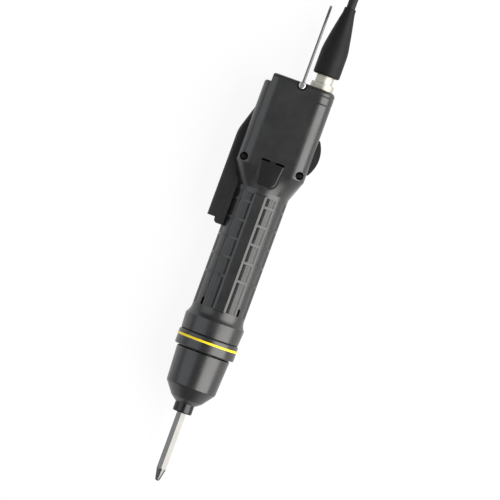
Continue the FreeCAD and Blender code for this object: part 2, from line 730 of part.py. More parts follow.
ring_teeth = S.sun_teeth + 2 * S.planet_teeth
clutch_front = nose_rear - S.neck_land
clutch_rear = clutch_front + S.clutch_wall
tube_front = clutch_front - S.tube_length
gear_case_rear = clutch_rear + S.gear_case_length
plate_rear = gear_case_rear + S.plate_thick
can_rear = plate_rear + S.can_length
motor_rear = can_rear + S.cap_thick

stop_rib = ring("stop_rib", bore_radius - S.stop_reach, bore_radius + S.case_wall / 2,
                motor_rear + S.case_gap, motor_rear + S.case_gap + S.stop_width)

screw_level = housing_start + S.screw_rise
screw_seat = -(front_depth - S.screw_sink)
bosses = [stop_rib]
holes = []
screws = []
for side, label in ((-1, "left"), (1, "right")):
    x = side * screw_offset
    bosses.append(rod(f"screw_post_{label}", S.screw_radius + S.boss_wall, (x, -FAR, screw_level), 2 * FAR,
                      "y"))
    bosses.append(rod(f"screw_cup_{label}", S.screw_head_radius + S.boss_wall, (x, -FAR, screw_level),
                      FAR + screw_seat + S.boss_wall * 2, "y"))
    holes.append(rod(f"screw_sinking_{label}", S.screw_head_radius + S.case_gap, (x, -FAR, screw_level),
                     FAR + screw_seat, "y"))
    holes.append(rod(f"screw_hole_{label}", S.screw_radius + S.seat_gap, (x, screw_seat - 1, screw_level),
                     S.screw_length + 1 + S.clear_gap, "y"))
    head = rod(f"screw_head_{label}", S.screw_head_radius, (x, screw_seat - S.screw_head_height, screw_level),
               S.screw_head_height, "y")
    shank = rod(f"screw_shank_{label}", S.screw_radius, (x, screw_seat - 1, screw_level),
                S.screw_length + 1, "y")
    drive = block(f"screw_drive_{label}", (x - S.screw_head_radius * 0.6, x + S.screw_head_radius * 0.6),
                  (screw_seat - S.screw_head_height - 1, screw_seat - S.screw_head_height * 0.5),
                  (screw_level - 0.4, screw_level + 0.4))
    screws.append(less(f"screw_{label}", fused(f"screw_body_{label}", head, shank), drive))

lever_boss_start = S.lever_half_width + S.clear_gap
for face, label in ((-1, "front"), (1, "rear")):
    start = lever_boss_start if face > 0 else -FAR
    bosses.append(rod(f"lever_boss_{label}", S.lever_pin_radius + S.boss_wall,
                      (-lever_pivot_in, start, lever_pivot),
                      FAR - lever_boss_start, "y"))
holes.append(rod("lever_pin_hole", S.lever_pin_radius + S.seat_gap,
                 (-lever_pivot_in, -(S.lever_pin_length / 2 + S.clear_gap), lever_pivot),
                 S.lever_pin_length + 2 * S.clear_gap, "y"))
holes.append(rod("lever_spring_pocket", S.lever_coil + S.lever_wire / 2 + S.clear_gap,
                 (-FAR, 0, lever_bottom + S.lever_spring_rise),
                 FAR - rail_reach + S.lever_spring_sink, "x"))

rocker_level = housing_start + S.rocker_rise
rocker_y = S.rocker_half_width + S.clear_gap
holes.append(block("rocker_opening", (inner_width - 1, FAR), (-rocker_y, rocker_y),
                   (rocker_level - S.rocker_half_length - S.rocker_room,
                    rocker_level + S.rocker_half_length + S.rocker_room)))

bail_level = housing_top - S.bail_drop
pocket_floor = front_depth - S.pocket_depth
for face, label in ((-1, "front"), (1, "rear")):
    low, high = (-FAR, -pocket_floor) if face < 0 else (pocket_floor, FAR)
    holes.append(rod(f"bail_pocket_{label}", S.pocket_radius, (S.bail_offset, low, bail_level),
                     FAR - pocket_floor, "y"))
    holes.append(block(f"bail_notch_{label}",
                       (S.bail_offset - S.pocket_radius, S.bail_offset + S.pocket_radius),
                       (low, high), (bail_level, FAR)))
    boss_end = pocket_floor - S.bail_screw_length - S.boss_wall
    start = -FAR if face < 0 else boss_end
    bosses.append(rod(f"bail_boss_{label}", S.pocket_radius + S.boss_wall, (S.bail_offset, start, bail_level),
                      FAR - boss_end, "y"))
    start = -pocket_floor - 1 if face < 0 else pocket_floor - S.bail_screw_length - S.clear_gap
    holes.append(rod(f"bail_screw_hole_{label}", S.bail_screw + S.seat_gap,
                     (S.bail_offset, start, bail_level),
                     S.bail_screw_length + S.clear_gap + 1, "y"))

holes.append(rod("socket_hole", S.socket_radius + S.seat_gap, (socket_offset, 0, case_inside_top - 1), FAR))

base_front = S.housing_half_width - S.base_inset
board_high = housing_top - S.board_drop
board_low = board_high - S.board_length
board_back = inner_depth - S.board_stand
board_left = -(lever_pivot_in - S.lever_pin_radius - S.boss_wall - S.board_left_gap)
board_right = base_front - S.base_thick - S.board_right_gap
board_half_width = (board_right - board_left) / 2
board_middle = (board_right + board_left) / 2
for side in (-1, 1):
    for level in (board_low + 2 * S.post_radius, board_high - 2 * S.post_radius):
        x = board_middle + side * (board_half_width - 2 * S.post_radius)
        bosses.append(rod("board_post", S.post_radius, (x, board_back, level), FAR, "y"))

for side in (-1, 1):
    x = side * S.slot_offset
    half = (S.slot_length - S.slot_width) / 2
    holes.append(block("vent_slot", (x - S.slot_width / 2, x + S.slot_width / 2), everywhere,
                       (S.slot_rise - half, S.slot_rise + half)))
    holes.append(rod("vent_end_low", S.slot_width / 2, (x, -FAR, S.slot_rise - half), 2 * FAR, "y"))
    holes.append(rod("vent_end_high", S.slot_width / 2, (x, -FAR, S.slot_rise + half), 2 * FAR, "y"))

cavity_form = fused("cavity_form", grip_bore, neck_inner, housing_inner)
cavity = less("cavity", cavity_form, step_inner, *bosses)
case_hollow = less("case_hollow", case_solid, cavity)
case = less("case", case_hollow, window_recess, light_slits, *holes)
front_half = shared("front_half", case, block("front_space", everywhere, (-FAR, 0), everywhere))
rear_half = shared("rear_half", case, block("rear_space", everywhere, (0, FAR), everywhere))
front_shell = fused("front_shell",
                    less("front_grip", front_half, grip_cells("front", 270.0), grip_channels("front", 270.0)),
                    *grip_beads("front", -1))
rear_shell = fused("rear_shell",
                   less("rear_grip", rear_half, grip_cells("rear", 90.0), grip_channels("rear", 90.0)),
                   *grip_beads("rear", 1))

case_screws = group("case_screws", *screws)
status_window = less("status_window",
                     shared("window_plate", shield("window_outline", 0),
                            block("window_span", everywhere, (-front_depth, window_back), everywhere)),
                     light_slits)
# Collar with its marker band, and the torque ring in front of it.
marker_low = collar_rear - S.marker_rise - S.marker_width / 2
marker_high = marker_low + S.marker_width
marker_inner = collar_radius + S.marker_proud - S.marker_depth
spigot_bore = bore_radius + S.spigot_wall + S.run_gap
spigot_front = -S.spigot_length - S.clear_gap
collar_ring = turned("collar_ring", [
    (barrel_radius + S.seat_gap, collar_front),
    (collar_radius, collar_front),
    (collar_radius, marker_low - S.seat_gap),
    (marker_inner - S.seat_gap, marker_low - S.seat_gap),
    (marker_inner - S.seat_gap, marker_high + S.seat_gap),
    (collar_radius, marker_high + S.seat_gap),
    (collar_radius, collar_rear),
    (spigot_bore, collar_rear),
    (spigot_bore, spigot_front),
    (barrel_radius + S.seat_gap, spigot_front),
])
rounded(collar_ring, S.collar_round,
        lambda edge: circle_at(collar_radius, collar_front)(edge)
        or circle_at(collar_radius, collar_rear)(edge))
marker_band = ring("marker_band", marker_inner, collar_radius + S.marker_proud, marker_low, marker_high)

cone_top_radius = S.nose_radius - S.nose_draft
cone_low_radius = cone_top_radius - S.cone_drop
tip_bore = S.collet_radius + S.clear_gap
land_radius = S.nose_bore - S.run_gap
snap_low = clutch_front + (S.neck_land - S.snap_width) / 2
snap_inner = S.nose_bore - S.key_depth
snap_outer = S.nose_bore + S.key_depth / 2
nose_inner_front = nose_front + S.nose_front_wall
nose_inner_cone = nose_cone + S.clear_gap
torque_form = turned("torque_form", [
    (tip_bore, nose_front),
    (tip_bore + S.clear_gap, nose_front),
    (cone_low_radius, nose_tip),
    (cone_top_radius, nose_cone),
    (S.nose_radius, nose_rear),
    (S.nose_bore, nose_rear),
    (S.nose_bore, snap_low + S.snap_width + S.run_gap),
    (snap_outer + S.run_gap * 2, snap_low + S.snap_width + S.run_gap),
    (snap_outer + S.run_gap * 2, snap_low - S.run_gap),
    (S.nose_bore, snap_low - S.run_gap),
    (S.nose_bore, nose_inner_cone),
    (cone_low_radius - (cone_top_radius - S.nose_bore) / 2, nose_tip + (cone_top_radius - S.nose_bore) * 0.8),
    (tip_bore, nose_inner_front),
])
rounded(torque_form, S.nose_round, circle_at(cone_top_radius, nose_cone))
rounded(torque_form, S.collar_round, lambda edge: circle_at(cone_low_radius, nose_tip)(edge)
        or circle_at(S.nose_radius, nose_rear)(edge))
nut_low = tube_front + S.nut_front
nut_high = nut_low + S.nut_length
key_grooves = []
keys = []


def spoke(name, angle, inner, outer, half_width, low, high):
    """A block that points away from the axis at an angle."""
    item = doc.addObject("Part::Box", name)
    tie(item, Length=outer - inner, Width=2 * half_width, Height=high - low)
    x = inner * cosine(angle) + half_width * sine(angle)
    y = inner * sine(angle) - half_width * cosine(angle)
    return put(item, x, y, low, FreeCAD.Rotation(V(0, 0, 1), angle))


for number in range(3):
    angle = 120.0 * number
    key_grooves.append(spoke(f"key_groove_{number}", angle, tip_bore + 4, S.nose_bore + S.key_depth,
                             S.key_width / 2, nose_inner_cone, nut_high + S.nut_travel + S.clear_gap * 2))
    keys.append(spoke(f"nut_key_{number}", angle, S.tube_radius + 1, S.nose_bore + S.key_depth - S.case_gap,
                      S.key_width / 2 - S.case_gap, nut_low, nut_high))
torque_sleeve = less("torque_sleeve", torque_form, *key_grooves)
nut_outer = S.nose_bore - S.case_gap
torque_nut = fused("torque_nut", ring("nut_ring", S.tube_radius + S.run_gap, nut_outer, nut_low, nut_high),
                   *keys)

# Gear case: threaded tube with the spindle bearing, clutch wall and gear barrel.
gear_bore = barrel_radius - S.gear_wall
ring_outer = gear_bore - S.run_gap
ring_root = ring_outer - S.ring_wall
gear_module = ring_root / (ring_teeth / 2 + S.tooth_root)
ring_pitch = gear_module * ring_teeth / 2
bearing_low = tube_front + S.bearing_front
bearing_high = bearing_low + S.bearing_width
clip_low = bearing_low - S.ring_thick - S.run_gap
gear_form = turned("gear_form", [
    (S.bearing_outer + S.seat_gap, tube_front),
    (S.tube_radius - S.collar_round, tube_front),
    (S.tube_radius, tube_front + S.collar_round),
    (S.tube_radius, clutch_front),
    (land_radius, clutch_front),
    (land_radius, snap_low - S.seat_gap),
    (snap_inner - S.seat_gap, snap_low - S.seat_gap),
    (snap_inner - S.seat_gap, snap_low + S.snap_width + S.seat_gap),
    (land_radius, snap_low + S.snap_width + S.seat_gap),
    (land_radius, nose_rear + S.clear_gap),
    (barrel_radius, nose_rear + S.clear_gap),
    (barrel_radius, gear_case_rear),
    (gear_bore, gear_case_rear),
    (gear_bore, clutch_rear),
    (S.bore_back, clutch_rear),
    (S.bore_back, bearing_high),
    (S.bearing_outer + S.seat_gap, bearing_high),
    (S.bearing_outer + S.seat_gap, clip_low + S.ring_thick + S.run_gap),
    (S.bearing_outer + S.clear_gap, clip_low + S.ring_thick + S.run_gap),
    (S.bearing_outer + S.clear_gap, clip_low),
    (S.bearing_outer + S.seat_gap, clip_low),
])
ball_holes = []
balls = []
washer_rear = clutch_front - S.case_gap
ball_level = washer_rear + S.clutch_ball
for number in range(6):
    angle = 60.0 * number + 30.0
    x = S.ball_circle * cosine(angle)
    y = S.ball_circle * sine(angle)
    ball_holes.append(rod(f"ball_hole_{number}", S.clutch_ball + S.run_gap, (x, y, clutch_front - 1),
                          S.clutch_wall + 2))
    balls.append(ball(f"clutch_ball_{number}", S.clutch_ball, (x, y, ball_level)))
gear_case = less("gear_case", gear_form, *ball_holes)
clutch_balls = group("clutch_balls", *balls)
washer_front = washer_rear - S.washer_thick
thrust_washer = ring("thrust_washer", S.tube_radius + S.case_gap, S.nose_bore - S.clear_gap, washer_front,
                     washer_rear)
spindle_bearing = ring("spindle_bearing", S.spindle_radius + S.seat_gap, S.bearing_outer, bearing_low,
                       bearing_high)
retaining_rings = group(
    "retaining_rings",
    ring("bearing_clip", S.bearing_outer - S.clutch_ball, S.bearing_outer + S.case_gap, clip_low + S.seat_gap,
         clip_low + S.ring_thick),
    ring("torque_snap", snap_inner, snap_outer, snap_low, snap_low + S.snap_width))


# Gears with involute teeth, drawn as one outline each.

def unrolled(angle):
    """How far an involute has turned where its pressure angle is this."""
    return math.tan(angle) - angle


def gear_face(teeth, top, bottom, play, phase):
    """Outline of a gear: involute flanks, radial below the base circle."""
    pressure = math.radians(S.pressure_angle.value)
    pitch_radius = gear_module.value * teeth / 2
    base_radius = pitch_radius * math.cos(pressure)
    quarter = math.pi / teeth / 2 - play / 2 / pitch_radius + unrolled(pressure)
    root_radius = pitch_radius - bottom
    first = max(root_radius, base_radius)
    steps = 4
    radii = [first + (pitch_radius + top - first) * step / steps for step in range(steps + 1)]
    halves = [(r, quarter - unrolled(math.acos(min(1.0, base_radius / r)))) for r in radii]
    if root_radius < base_radius:
        halves.insert(0, (root_radius, halves[0][1]))
    points = []
    for tooth in range(int(round(teeth))):
        centre = phase + 2 * math.pi * tooth / teeth
        flank = [(r, centre - half) for r, half in halves]
        back = [(r, centre + half) for r, half in reversed(halves)]
        points += [V(r * math.cos(t), r * math.sin(t), 0) for r, t in flank + back]
    return Part.Wire(Part.makePolygon(points + points[:1]))


def gear(wire, low, high, bore=None):
    """A straight gear between two levels, with an optional bore."""
    face = Part.Face(wire)
    solid = face.extrude(V(0, 0, number_of(high) - number_of(low)))
    solid.translate(V(0, 0, number_of(low)))
    if bore is not None:
        hole = Part.makeCylinder(number_of(bore), number_of(high - low) + 2, V(0, 0, number_of(low) - 1))
        solid = solid.cut(hole)
    return solid


tooth_top = (gear_module * S.tooth_top).value
tooth_root = (gear_module * S.tooth_root).value
ring_top = (gear_module * S.ring_top).value
play = S.gear_backlash.value / 2
sun_teeth = S.sun_teeth.value
planet_teeth = S.planet_teeth.value
planet_circle = gear_module * (S.sun_teeth + S.planet_teeth) / 2
ring_tip = ring_pitch - gear_module * S.tooth_top
bite = S.bite

ring_low = clutch_rear + S.ring_front
ring_high = ring_low + S.ring_length
ring_blank = Part.makeCylinder(ring_outer.value, S.ring_length.value, V(0, 0, ring_low.value))
ring_face = gear_face(ring_teeth.value, tooth_root, ring_top, -play, 0)
ring_space = gear(ring_face, ring_low - bite, ring_high + bite)
ring_gear = fixed("ring_gear", ring_blank.cut(ring_space))

low_carrier_front = ring_low + S.ball_radius
low_carrier_rear = low_carrier_front + S.carrier_thick
low_front = low_carrier_rear + S.face_gap
low_rear = low_front + S.low_width
high_carrier_front = low_rear + S.face_gap
high_carrier_rear = high_carrier_front + S.carrier_thick
high_front = high_carrier_rear + S.face_gap
high_rear = high_front + S.high_width
carrier_radius = ring_tip - S.clear_gap
plate_front = ring_high + S.face_gap


def planet_set(stage, low, high):
    """Three planets of one stage, each turned to mesh once it is in place."""
    planets = []
    for number in range(3):
        around = 2 * math.pi * number / 3
        turn = around * (1 + sun_teeth / planet_teeth) + math.pi + math.pi / planet_teeth
        blank = gear(gear_face(planet_teeth, tooth_top, tooth_root, play, turn), low, high,
                     S.pin_radius + S.run_gap)
        planets.append(fixed(f"{stage}_planet_{number + 1}", blank))
    return planets


def carrier_pins(name, low, high):
    return [rod(f"{name}_{number}", S.pin_radius,
                (planet_circle * cosine(120.0 * number), planet_circle * sine(120.0 * number),
                 low), high - low)
            for number in range(3)]


output_planets = planet_set("output", low_front, low_rear)
input_planets = planet_set("input", high_front, high_rear)
sun_phase = 0.0
output_sun = fixed("output_sun", gear(gear_face(sun_teeth, tooth_top, tooth_root, play, sun_phase),
                                      low_front + S.case_gap, high_carrier_front + bite))
input_carrier = fused("input_carrier",
                      rod("input_disc", carrier_radius, (0, 0, high_carrier_front), S.carrier_thick),
                      output_sun, *carrier_pins("input_pin", high_carrier_rear - bite,
                                                high_rear + S.case_gap))

# Spindle with the output carrier, the chuck and the bit.
spindle_front = collet_front + S.collet_lip - S.ring_thick * 2
collet_rear = collet_front + S.collet_length
front_ring_low = collet_front + S.collet_lip - S.ring_thick - S.run_gap
seat_ring_low = collet_rear + S.collet_stroke + S.clear_gap
groove_radius = S.spindle_radius - S.ring_thick * 0.7
spindle_form = turned("spindle_form", [
    (0, spindle_front),
    (S.spindle_radius, spindle_front),
    (S.spindle_radius, front_ring_low - S.seat_gap),
    (groove_radius, front_ring_low - S.seat_gap),
    (groove_radius, front_ring_low + S.ring_thick + S.seat_gap),
    (S.spindle_radius, front_ring_low + S.ring_thick + S.seat_gap),
    (S.spindle_radius, seat_ring_low - S.seat_gap),
    (groove_radius, seat_ring_low - S.seat_gap),
    (groove_radius, seat_ring_low + S.ring_thick + S.seat_gap),
    (S.spindle_radius, seat_ring_low + S.ring_thick + S.seat_gap),
    (S.spindle_radius, bearing_high),
    (S.bore_back - S.clear_gap * 3, bearing_high),
    (S.bore_back - S.clear_gap * 3, bearing_high + S.ball_radius),
    (S.spindle_radius, bearing_high + S.ball_radius),
    (S.spindle_radius, low_carrier_front),
    (carrier_radius, low_carrier_front),
    (carrier_radius, low_carrier_rear),
    (0, low_carrier_rear),
])


def hexagon(name, flats, low, high):
    """A six-sided bar on the axis with an edge towards the front."""
    item = doc.addObject("Part::Prism", name)
    item.Polygon = 6
    tie(item, Circumradius=flats / math.sqrt(3), Height=high - low)
    return put(item, 0, 0, low, FreeCAD.Rotation(V(0, 0, 1), 30))


bit_rear = collet_front + S.bit_depth
ball_height = collet_front + S.ball_rise
ball_reach = S.spindle_radius - S.ball_radius
spindle = less("spindle",
               fused("spindle_body", spindle_form,
                     *carrier_pins("output_pin", low_carrier_rear - bite, low_rear + S.case_gap)),
               hexagon("hex_socket", S.hex_flats + S.hex_play, spindle_front - bite, bit_rear + S.case_gap),
               rod("ball_seat", S.ball_radius + S.run_gap, (0, 0, ball_height), S.collet_radius, "y"))
bit_groove = ring("bit_groove", ball_reach - S.ball_radius - S.run_gap, S.hex_flats,
                  ball_height - S.ball_radius * 1.2,
                  ball_height + S.ball_radius * 1.2)
bit_form = turned("bit_form", [
    (0, bit_tip),
    (S.bit_point, bit_tip),
    (S.bit_point * 1.6, bit_tip + S.bit_point * 0.8),
    (S.hex_flats / 2 + S.hex_play, bit_tip + S.bit_taper),
    (S.hex_flats, bit_tip + S.bit_taper + S.hex_flats / 2),
    (S.hex_flats, bit_rear - S.hex_flats),
    (S.hex_flats / 2, bit_rear),
    (0, bit_rear),
])
flutes = []
for number in range(4):
    turn = FreeCAD.Rotation(V(0, 0, 1), 90 * number + 45)
    lean = FreeCAD.Rotation(V(0, 1, 0), 16)
    corner = FreeCAD.Rotation(V(0, 0, 1), -45)
    start = turn.multVec(V(S.bit_point.value * 0.5, 0, 0))
    flute = doc.addObject("Part::Box", f"flute_{number}")
    tie(flute, Length=S.hex_flats, Width=S.hex_flats, Height=S.bit_taper * 2)
    put(flute, start.x, start.y, bit_tip - S.bit_point, turn.multiply(lean).multiply(corner))
    flutes.append(flute)
bit = less("bit",
           shared("bit_blank", hexagon("bit_hex", S.hex_flats, bit_tip - bite, bit_rear + bite), bit_form),
           bit_groove, *flutes)
bit_ball = ball("bit_ball", S.ball_radius, (0, ball_reach, ball_height))
spindle_rings = group("spindle_rings", *[
    ring(f"spindle_ring_{number}", groove_radius + S.seat_gap, S.spring_ring, low, low + S.ring_thick)
    for number, low in enumerate((front_ring_low, seat_ring_low))])
collet_bore = S.spindle_radius + S.run_gap
land_low = collet_front + S.collet_lip
land_high = land_low + S.collet_land
collet_sleeve = turned("collet_sleeve", [
    (S.spring_ring + S.case_gap, collet_front),
    (S.collet_radius - S.clear_gap, collet_front),
    (S.collet_radius, collet_front + S.clear_gap * 2),
    (S.collet_radius, collet_rear),
    (S.spring_ring + S.case_gap, collet_rear),
    (S.spring_ring + S.case_gap, land_high),
    (collet_bore, land_high),
    (collet_bore, land_low),
    (S.spring_ring + S.case_gap, land_low),
])

# Motor: shaft with its pinion, magnet, stator, can, end plates and bearings.
pinion_high = plate_front + S.case_gap
pinion = fixed("pinion", gear(gear_face(sun_teeth, tooth_top, tooth_root, play, sun_phase),
                              high_front + S.case_gap, pinion_high))
shaft_rear = motor_rear + S.stop_width
rotor_shaft = fused("rotor_shaft", pinion, rod("shaft_rod", S.shaft_radius, (0, 0, pinion_high - bite),
                         shaft_rear - pinion_high + bite))
core_low = plate_rear + S.core_start
core_high = core_low + S.core_length
core_outer = barrel_radius - S.can_wall - S.seat_gap
core_bore = core_outer - S.core_yoke - S.slot_depth
magnet_radius = core_bore - S.air_gap
rotor_magnet = ring("rotor_magnet", S.shaft_radius + S.seat_gap, magnet_radius, core_low, core_high)
teeth = []
windings = []
winding_inner = core_bore + S.air_gap * 2
winding_half = winding_inner * math.tan(math.pi / 6) - S.coil_space
winding_limit = core_outer - S.core_yoke - S.case_gap
winding_outer = root(winding_limit * winding_limit - winding_half * winding_half)
for number in range(6):
    angle = 60.0 * number
    teeth.append(spoke(f"stator_tooth_{number}", angle, core_bore - 1, core_outer - S.core_yoke / 2,
                       S.tooth_width / 2, core_low, core_high))
    winding = spoke(f"winding_{number}", angle, winding_inner, winding_outer, winding_half,
                    core_low - S.coil_reach, core_high + S.coil_reach)
    window = spoke(f"winding_hole_{number}", angle, winding_inner - 1, winding_outer + 1,
                   S.tooth_width / 2 + S.seat_gap, core_low - S.seat_gap, core_high + S.seat_gap)
    windings.append(less(f"stator_coil_{number}", winding, window))
stator_core = less("stator_core",
                   fused("stator_blank",
                         ring("stator_yoke", core_outer - S.core_yoke, core_outer, core_low, core_high),
                         *teeth),
                   rod("stator_bore", core_bore, (0, 0, core_low - 1), S.core_length + 2))
stator_coils = group("stator_coils", *windings)
motor_can = ring("motor_can", barrel_radius - S.can_wall, barrel_radius, plate_rear, can_rear)
seat_low = plate_front + S.plate_web
pinion_hole = gear_module * S.sun_teeth / 2 + gear_module * S.tooth_top + S.clear_gap
motor_front_plate = turned("motor_front_plate", [
    (pinion_hole, plate_front),
    (gear_bore - S.run_gap, plate_front),
    (gear_bore - S.run_gap, gear_case_rear),
    (barrel_radius, gear_case_rear),
    (barrel_radius, plate_rear),
    (S.motor_bearing + S.seat_gap, plate_rear),
    (S.motor_bearing + S.seat_gap, seat_low),
    (pinion_hole, seat_low),
])
motor_rear_cap = turned("motor_rear_cap", [
    (S.motor_bearing + S.seat_gap, can_rear),
    (barrel_radius, can_rear),
    (barrel_radius, motor_rear),
    (S.shaft_radius + S.clear_gap, motor_rear),
    (S.shaft_radius + S.clear_gap, can_rear + S.motor_bearing_width),
    (S.motor_bearing + S.seat_gap, can_rear + S.motor_bearing_width),
])
motor_bearings = group(
    "motor_bearings",
    ring("front_motor_bearing", S.shaft_radius + S.seat_gap, S.motor_bearing, seat_low,
         seat_low + S.motor_bearing_width),
    ring("rear_motor_bearing", S.shaft_radius + S.seat_gap, S.motor_bearing, can_rear,
         can_rear + S.motor_bearing_width))

# Control board on its posts, and the parts on its face.
board_y = board_back - S.board_thick
control_board = block("control_board", (board_left, board_right), (board_y, board_back),
                      (board_low, board_high))
can_radius = board_half_width * 0.3
board_components = group(
    "board_components",
    rod("capacitor", can_radius,
        (board_middle, board_y - board_half_width * 0.7, board_low + S.board_length * 0.2),
        board_half_width * 0.7, "y"),
    block("driver_chip", (board_middle - board_half_width * 0.4, board_middle + board_half_width * 0.4),
          (board_y - S.board_thick, board_y),
          (board_low + S.board_length * 0.4, board_low + S.board_length * 0.56)),
    block("power_switch", (board_left + 1, board_left + board_half_width * 0.9),
          (board_y - S.board_thick * 2, board_y),
          (board_low + S.board_length * 0.66, board_low + S.board_length * 0.78)),
    block("cable_header", (board_right - board_half_width * 0.9, board_right - 1),
          (board_y - S.board_thick * 3, board_y),
          (board_low + S.board_length * 0.84, board_low + S.board_length * 0.94)))

# Start lever: a channel over the rail, hung on a pin in the housing.
lever_form = extruded("lever_form", [
    (-lever_reach, lever_bottom),
    (-lever_reach, lever_bottom + S.lever_length),
    (-(lever_inner + S.lever_face), lever_top),
    (-lever_pivot_in, lever_pivot + S.lever_eye),
    (-lever_pivot_in, lever_pivot - S.lever_eye),
    (-lever_inner, lever_pivot - S.lever_eye * 3),
    (-lever_inner, lever_bottom),
], 2 * S.lever_half_width)
rounded(lever_form, S.lever_length * 0.4,
        lambda edge: all(abs(v.Z - (lever_bottom + S.lever_length).value) < 0.01 for v in edge.Vertexes))
rounded(lever_form, S.lever_wall,
        lambda edge: all(abs(v.X + lever_reach.value) < 0.01 for v in edge.Vertexes)
        and abs(edge.tangentAt(edge.FirstParameter).z) > 0.99)
channel = block("lever_channel", (-(lever_reach - S.lever_face), 0),
                (-(S.lever_half_width - S.lever_wall), S.lever_half_width - S.lever_wall),
                (lever_bottom - 1, lever_pivot - S.lever_eye * 4))
lever_eye = rod("lever_eye", S.lever_eye, (-lever_pivot_in, -S.lever_half_width, lever_pivot),
                2 * S.lever_half_width, "y")
lever_relief = rod("lever_relief", S.screw_radius + S.lever_swing, (-screw_offset, -FAR, screw_level),
                   2 * FAR, "y")
lever = less("lever",
             fused("lever_body", less("lever_channelled", lever_form, channel, lever_relief), lever_eye),
             rod("lever_bore", S.lever_pin_radius + S.run_gap, (-lever_pivot_in, -FAR, lever_pivot),
                 2 * FAR, "y"))
lever_pin = rod("lever_pin", S.lever_pin_radius, (0, 0, 0), S.lever_pin_length)

# Direction rocker, its pin and its switch.
rocker_x = S.housing_half_width + S.rocker_proud - S.rocker_radius
rocker_cap = shared("rocker_cap",
                    rod("rocker_round", S.rocker_radius, (rocker_x, -S.rocker_half_width, rocker_level),
                        2 * S.rocker_half_width, "y"),
                    block("rocker_span", (S.housing_half_width - S.rocker_sink, FAR), everywhere,
                          (rocker_level - S.rocker_half_length, rocker_level + S.rocker_half_length)))
stem_y = S.rocker_half_width - S.clear_gap
rocker_stem = block("rocker_stem",
                    (rocker_pivot_in - S.rocker_pin_radius * 2, S.housing_half_width - S.rocker_sink + 1),
                    (-stem_y, stem_y), (rocker_level - S.rocker_stem, rocker_level + S.rocker_stem))
rocker = less("rocker", fused("rocker_body", rocker_cap, rocker_stem),
              rod("rocker_bore", S.rocker_pin_radius + S.run_gap, (rocker_pivot_in, -FAR, rocker_level),
                  2 * FAR, "y"))
base_y = inner_depth - S.case_gap
ear_y = S.rocker_half_width + S.clear_gap
ears = []
for label, low, high in (("front", -(ear_y + S.ear_thick), -ear_y), ("rear", ear_y, ear_y + S.ear_thick)):
    ears.append(block(f"rocker_ear_{label}", (base_front - 1, rocker_pivot_in + S.rocker_pin_radius * 2.5),
                      (low, high),
                      (rocker_level - S.rocker_pin_radius * 3, rocker_level + S.rocker_pin_radius * 3)))
rocker_base = less("rocker_base",
                   fused("rocker_base_body",
                         block("rocker_plate", (base_front - S.base_thick, base_front), (-base_y, base_y),
                               (rocker_level - S.base_half_length,
                                rocker_level + S.base_half_length)), *ears),
                   rod("rocker_pin_hole", S.rocker_pin_radius + S.seat_gap,
                       (rocker_pivot_in, -FAR, rocker_level),
                       2 * FAR, "y"))
rocker_pin = rod("rocker_pin", S.rocker_pin_radius, (0, 0, 0), 2 * (ear_y + S.ear_thick))

# Hanging bail: a wire loop on two screws at the top of the case.
eye_middle = pocket_floor + S.bail_wire + S.run_gap
arch = doc.addObject("Part::Torus", "bail_arch")
tie(arch, Radius1=eye_middle, Radius2=S.bail_wire)
arch.Angle3 = 180
put(arch, S.bail_offset, 0, bail_level + S.bail_length - eye_middle, FreeCAD.Rotation(V(1, 1, 1), 120))
bail_parts = [arch]
eye_holes = []
bail_screw_parts = []
for face, label in ((-1, "front"), (1, "rear")):
    y = face * eye_middle
    bail_parts.append(rod(f"bail_leg_{label}", S.bail_wire,
                          (S.bail_offset, y, bail_level + S.bail_screw + S.bail_wire),
                          S.bail_length - eye_middle - S.bail_screw - S.bail_wire))
    eye_half = S.bail_wire - S.run_gap
    bail_parts.append(rod(f"bail_eye_{label}", S.bail_eye, (S.bail_offset, y - eye_half, bail_level),
                          2 * eye_half, "y"))
    eye_holes.append(rod(f"bail_eye_hole_{label}", S.bail_screw + S.run_gap * 2,
                         (S.bail_offset, y - 2, bail_level), 4, "y"))
    inner_end = pocket_floor - S.bail_screw_length
    head_seat = eye_middle + S.bail_wire + S.run_gap
    shank_low = -head_seat - 1 if face < 0 else inner_end
    head_low = -(head_seat + S.bail_head_height) if face < 0 else head_seat
    shank = rod(f"bail_shank_{label}", S.bail_screw, (S.bail_offset, shank_low, bail_level),
                head_seat - inner_end + 1, "y")
    head = rod(f"bail_head_{label}", S.bail_head, (S.bail_offset, head_low, bail_level),
               S.bail_head_height, "y")
    slot_floor = head_seat + S.bail_head_height / 2
    slot_y = (-FAR, -slot_floor) if face < 0 else (slot_floor, FAR)
    drive = block(f"bail_drive_{label}",
                  (S.bail_offset - S.bail_head * 0.6, S.bail_offset + S.bail_head * 0.6), slot_y,
                  (bail_level - S.bail_head * 0.15, bail_level + S.bail_head * 0.15))
    drive_across = block(f"bail_cross_{label}",
                         (S.bail_offset - S.bail_head * 0.15, S.bail_offset + S.bail_head * 0.15),
                         slot_y, (bail_level - S.bail_head * 0.6, bail_level + S.bail_head * 0.6))
    bail_screw_parts.append(less(f"bail_screw_{label}", fused(f"bail_screw_body_{label}", shank, head),
                                 drive, drive_across))
bail = less("bail", fused("bail_wire_form", *bail_parts), *eye_holes)
bail_screws = group("bail_screws", *bail_screw_parts)

# Supply socket in the top of the case, and the plug that sits in it.
socket_low = case_inside_top - S.socket_depth
socket_high = housing_top + S.flange_height - S.case_gap
socket_bore = S.socket_radius - S.socket_wall
flange_thick = S.socket_wall * 2


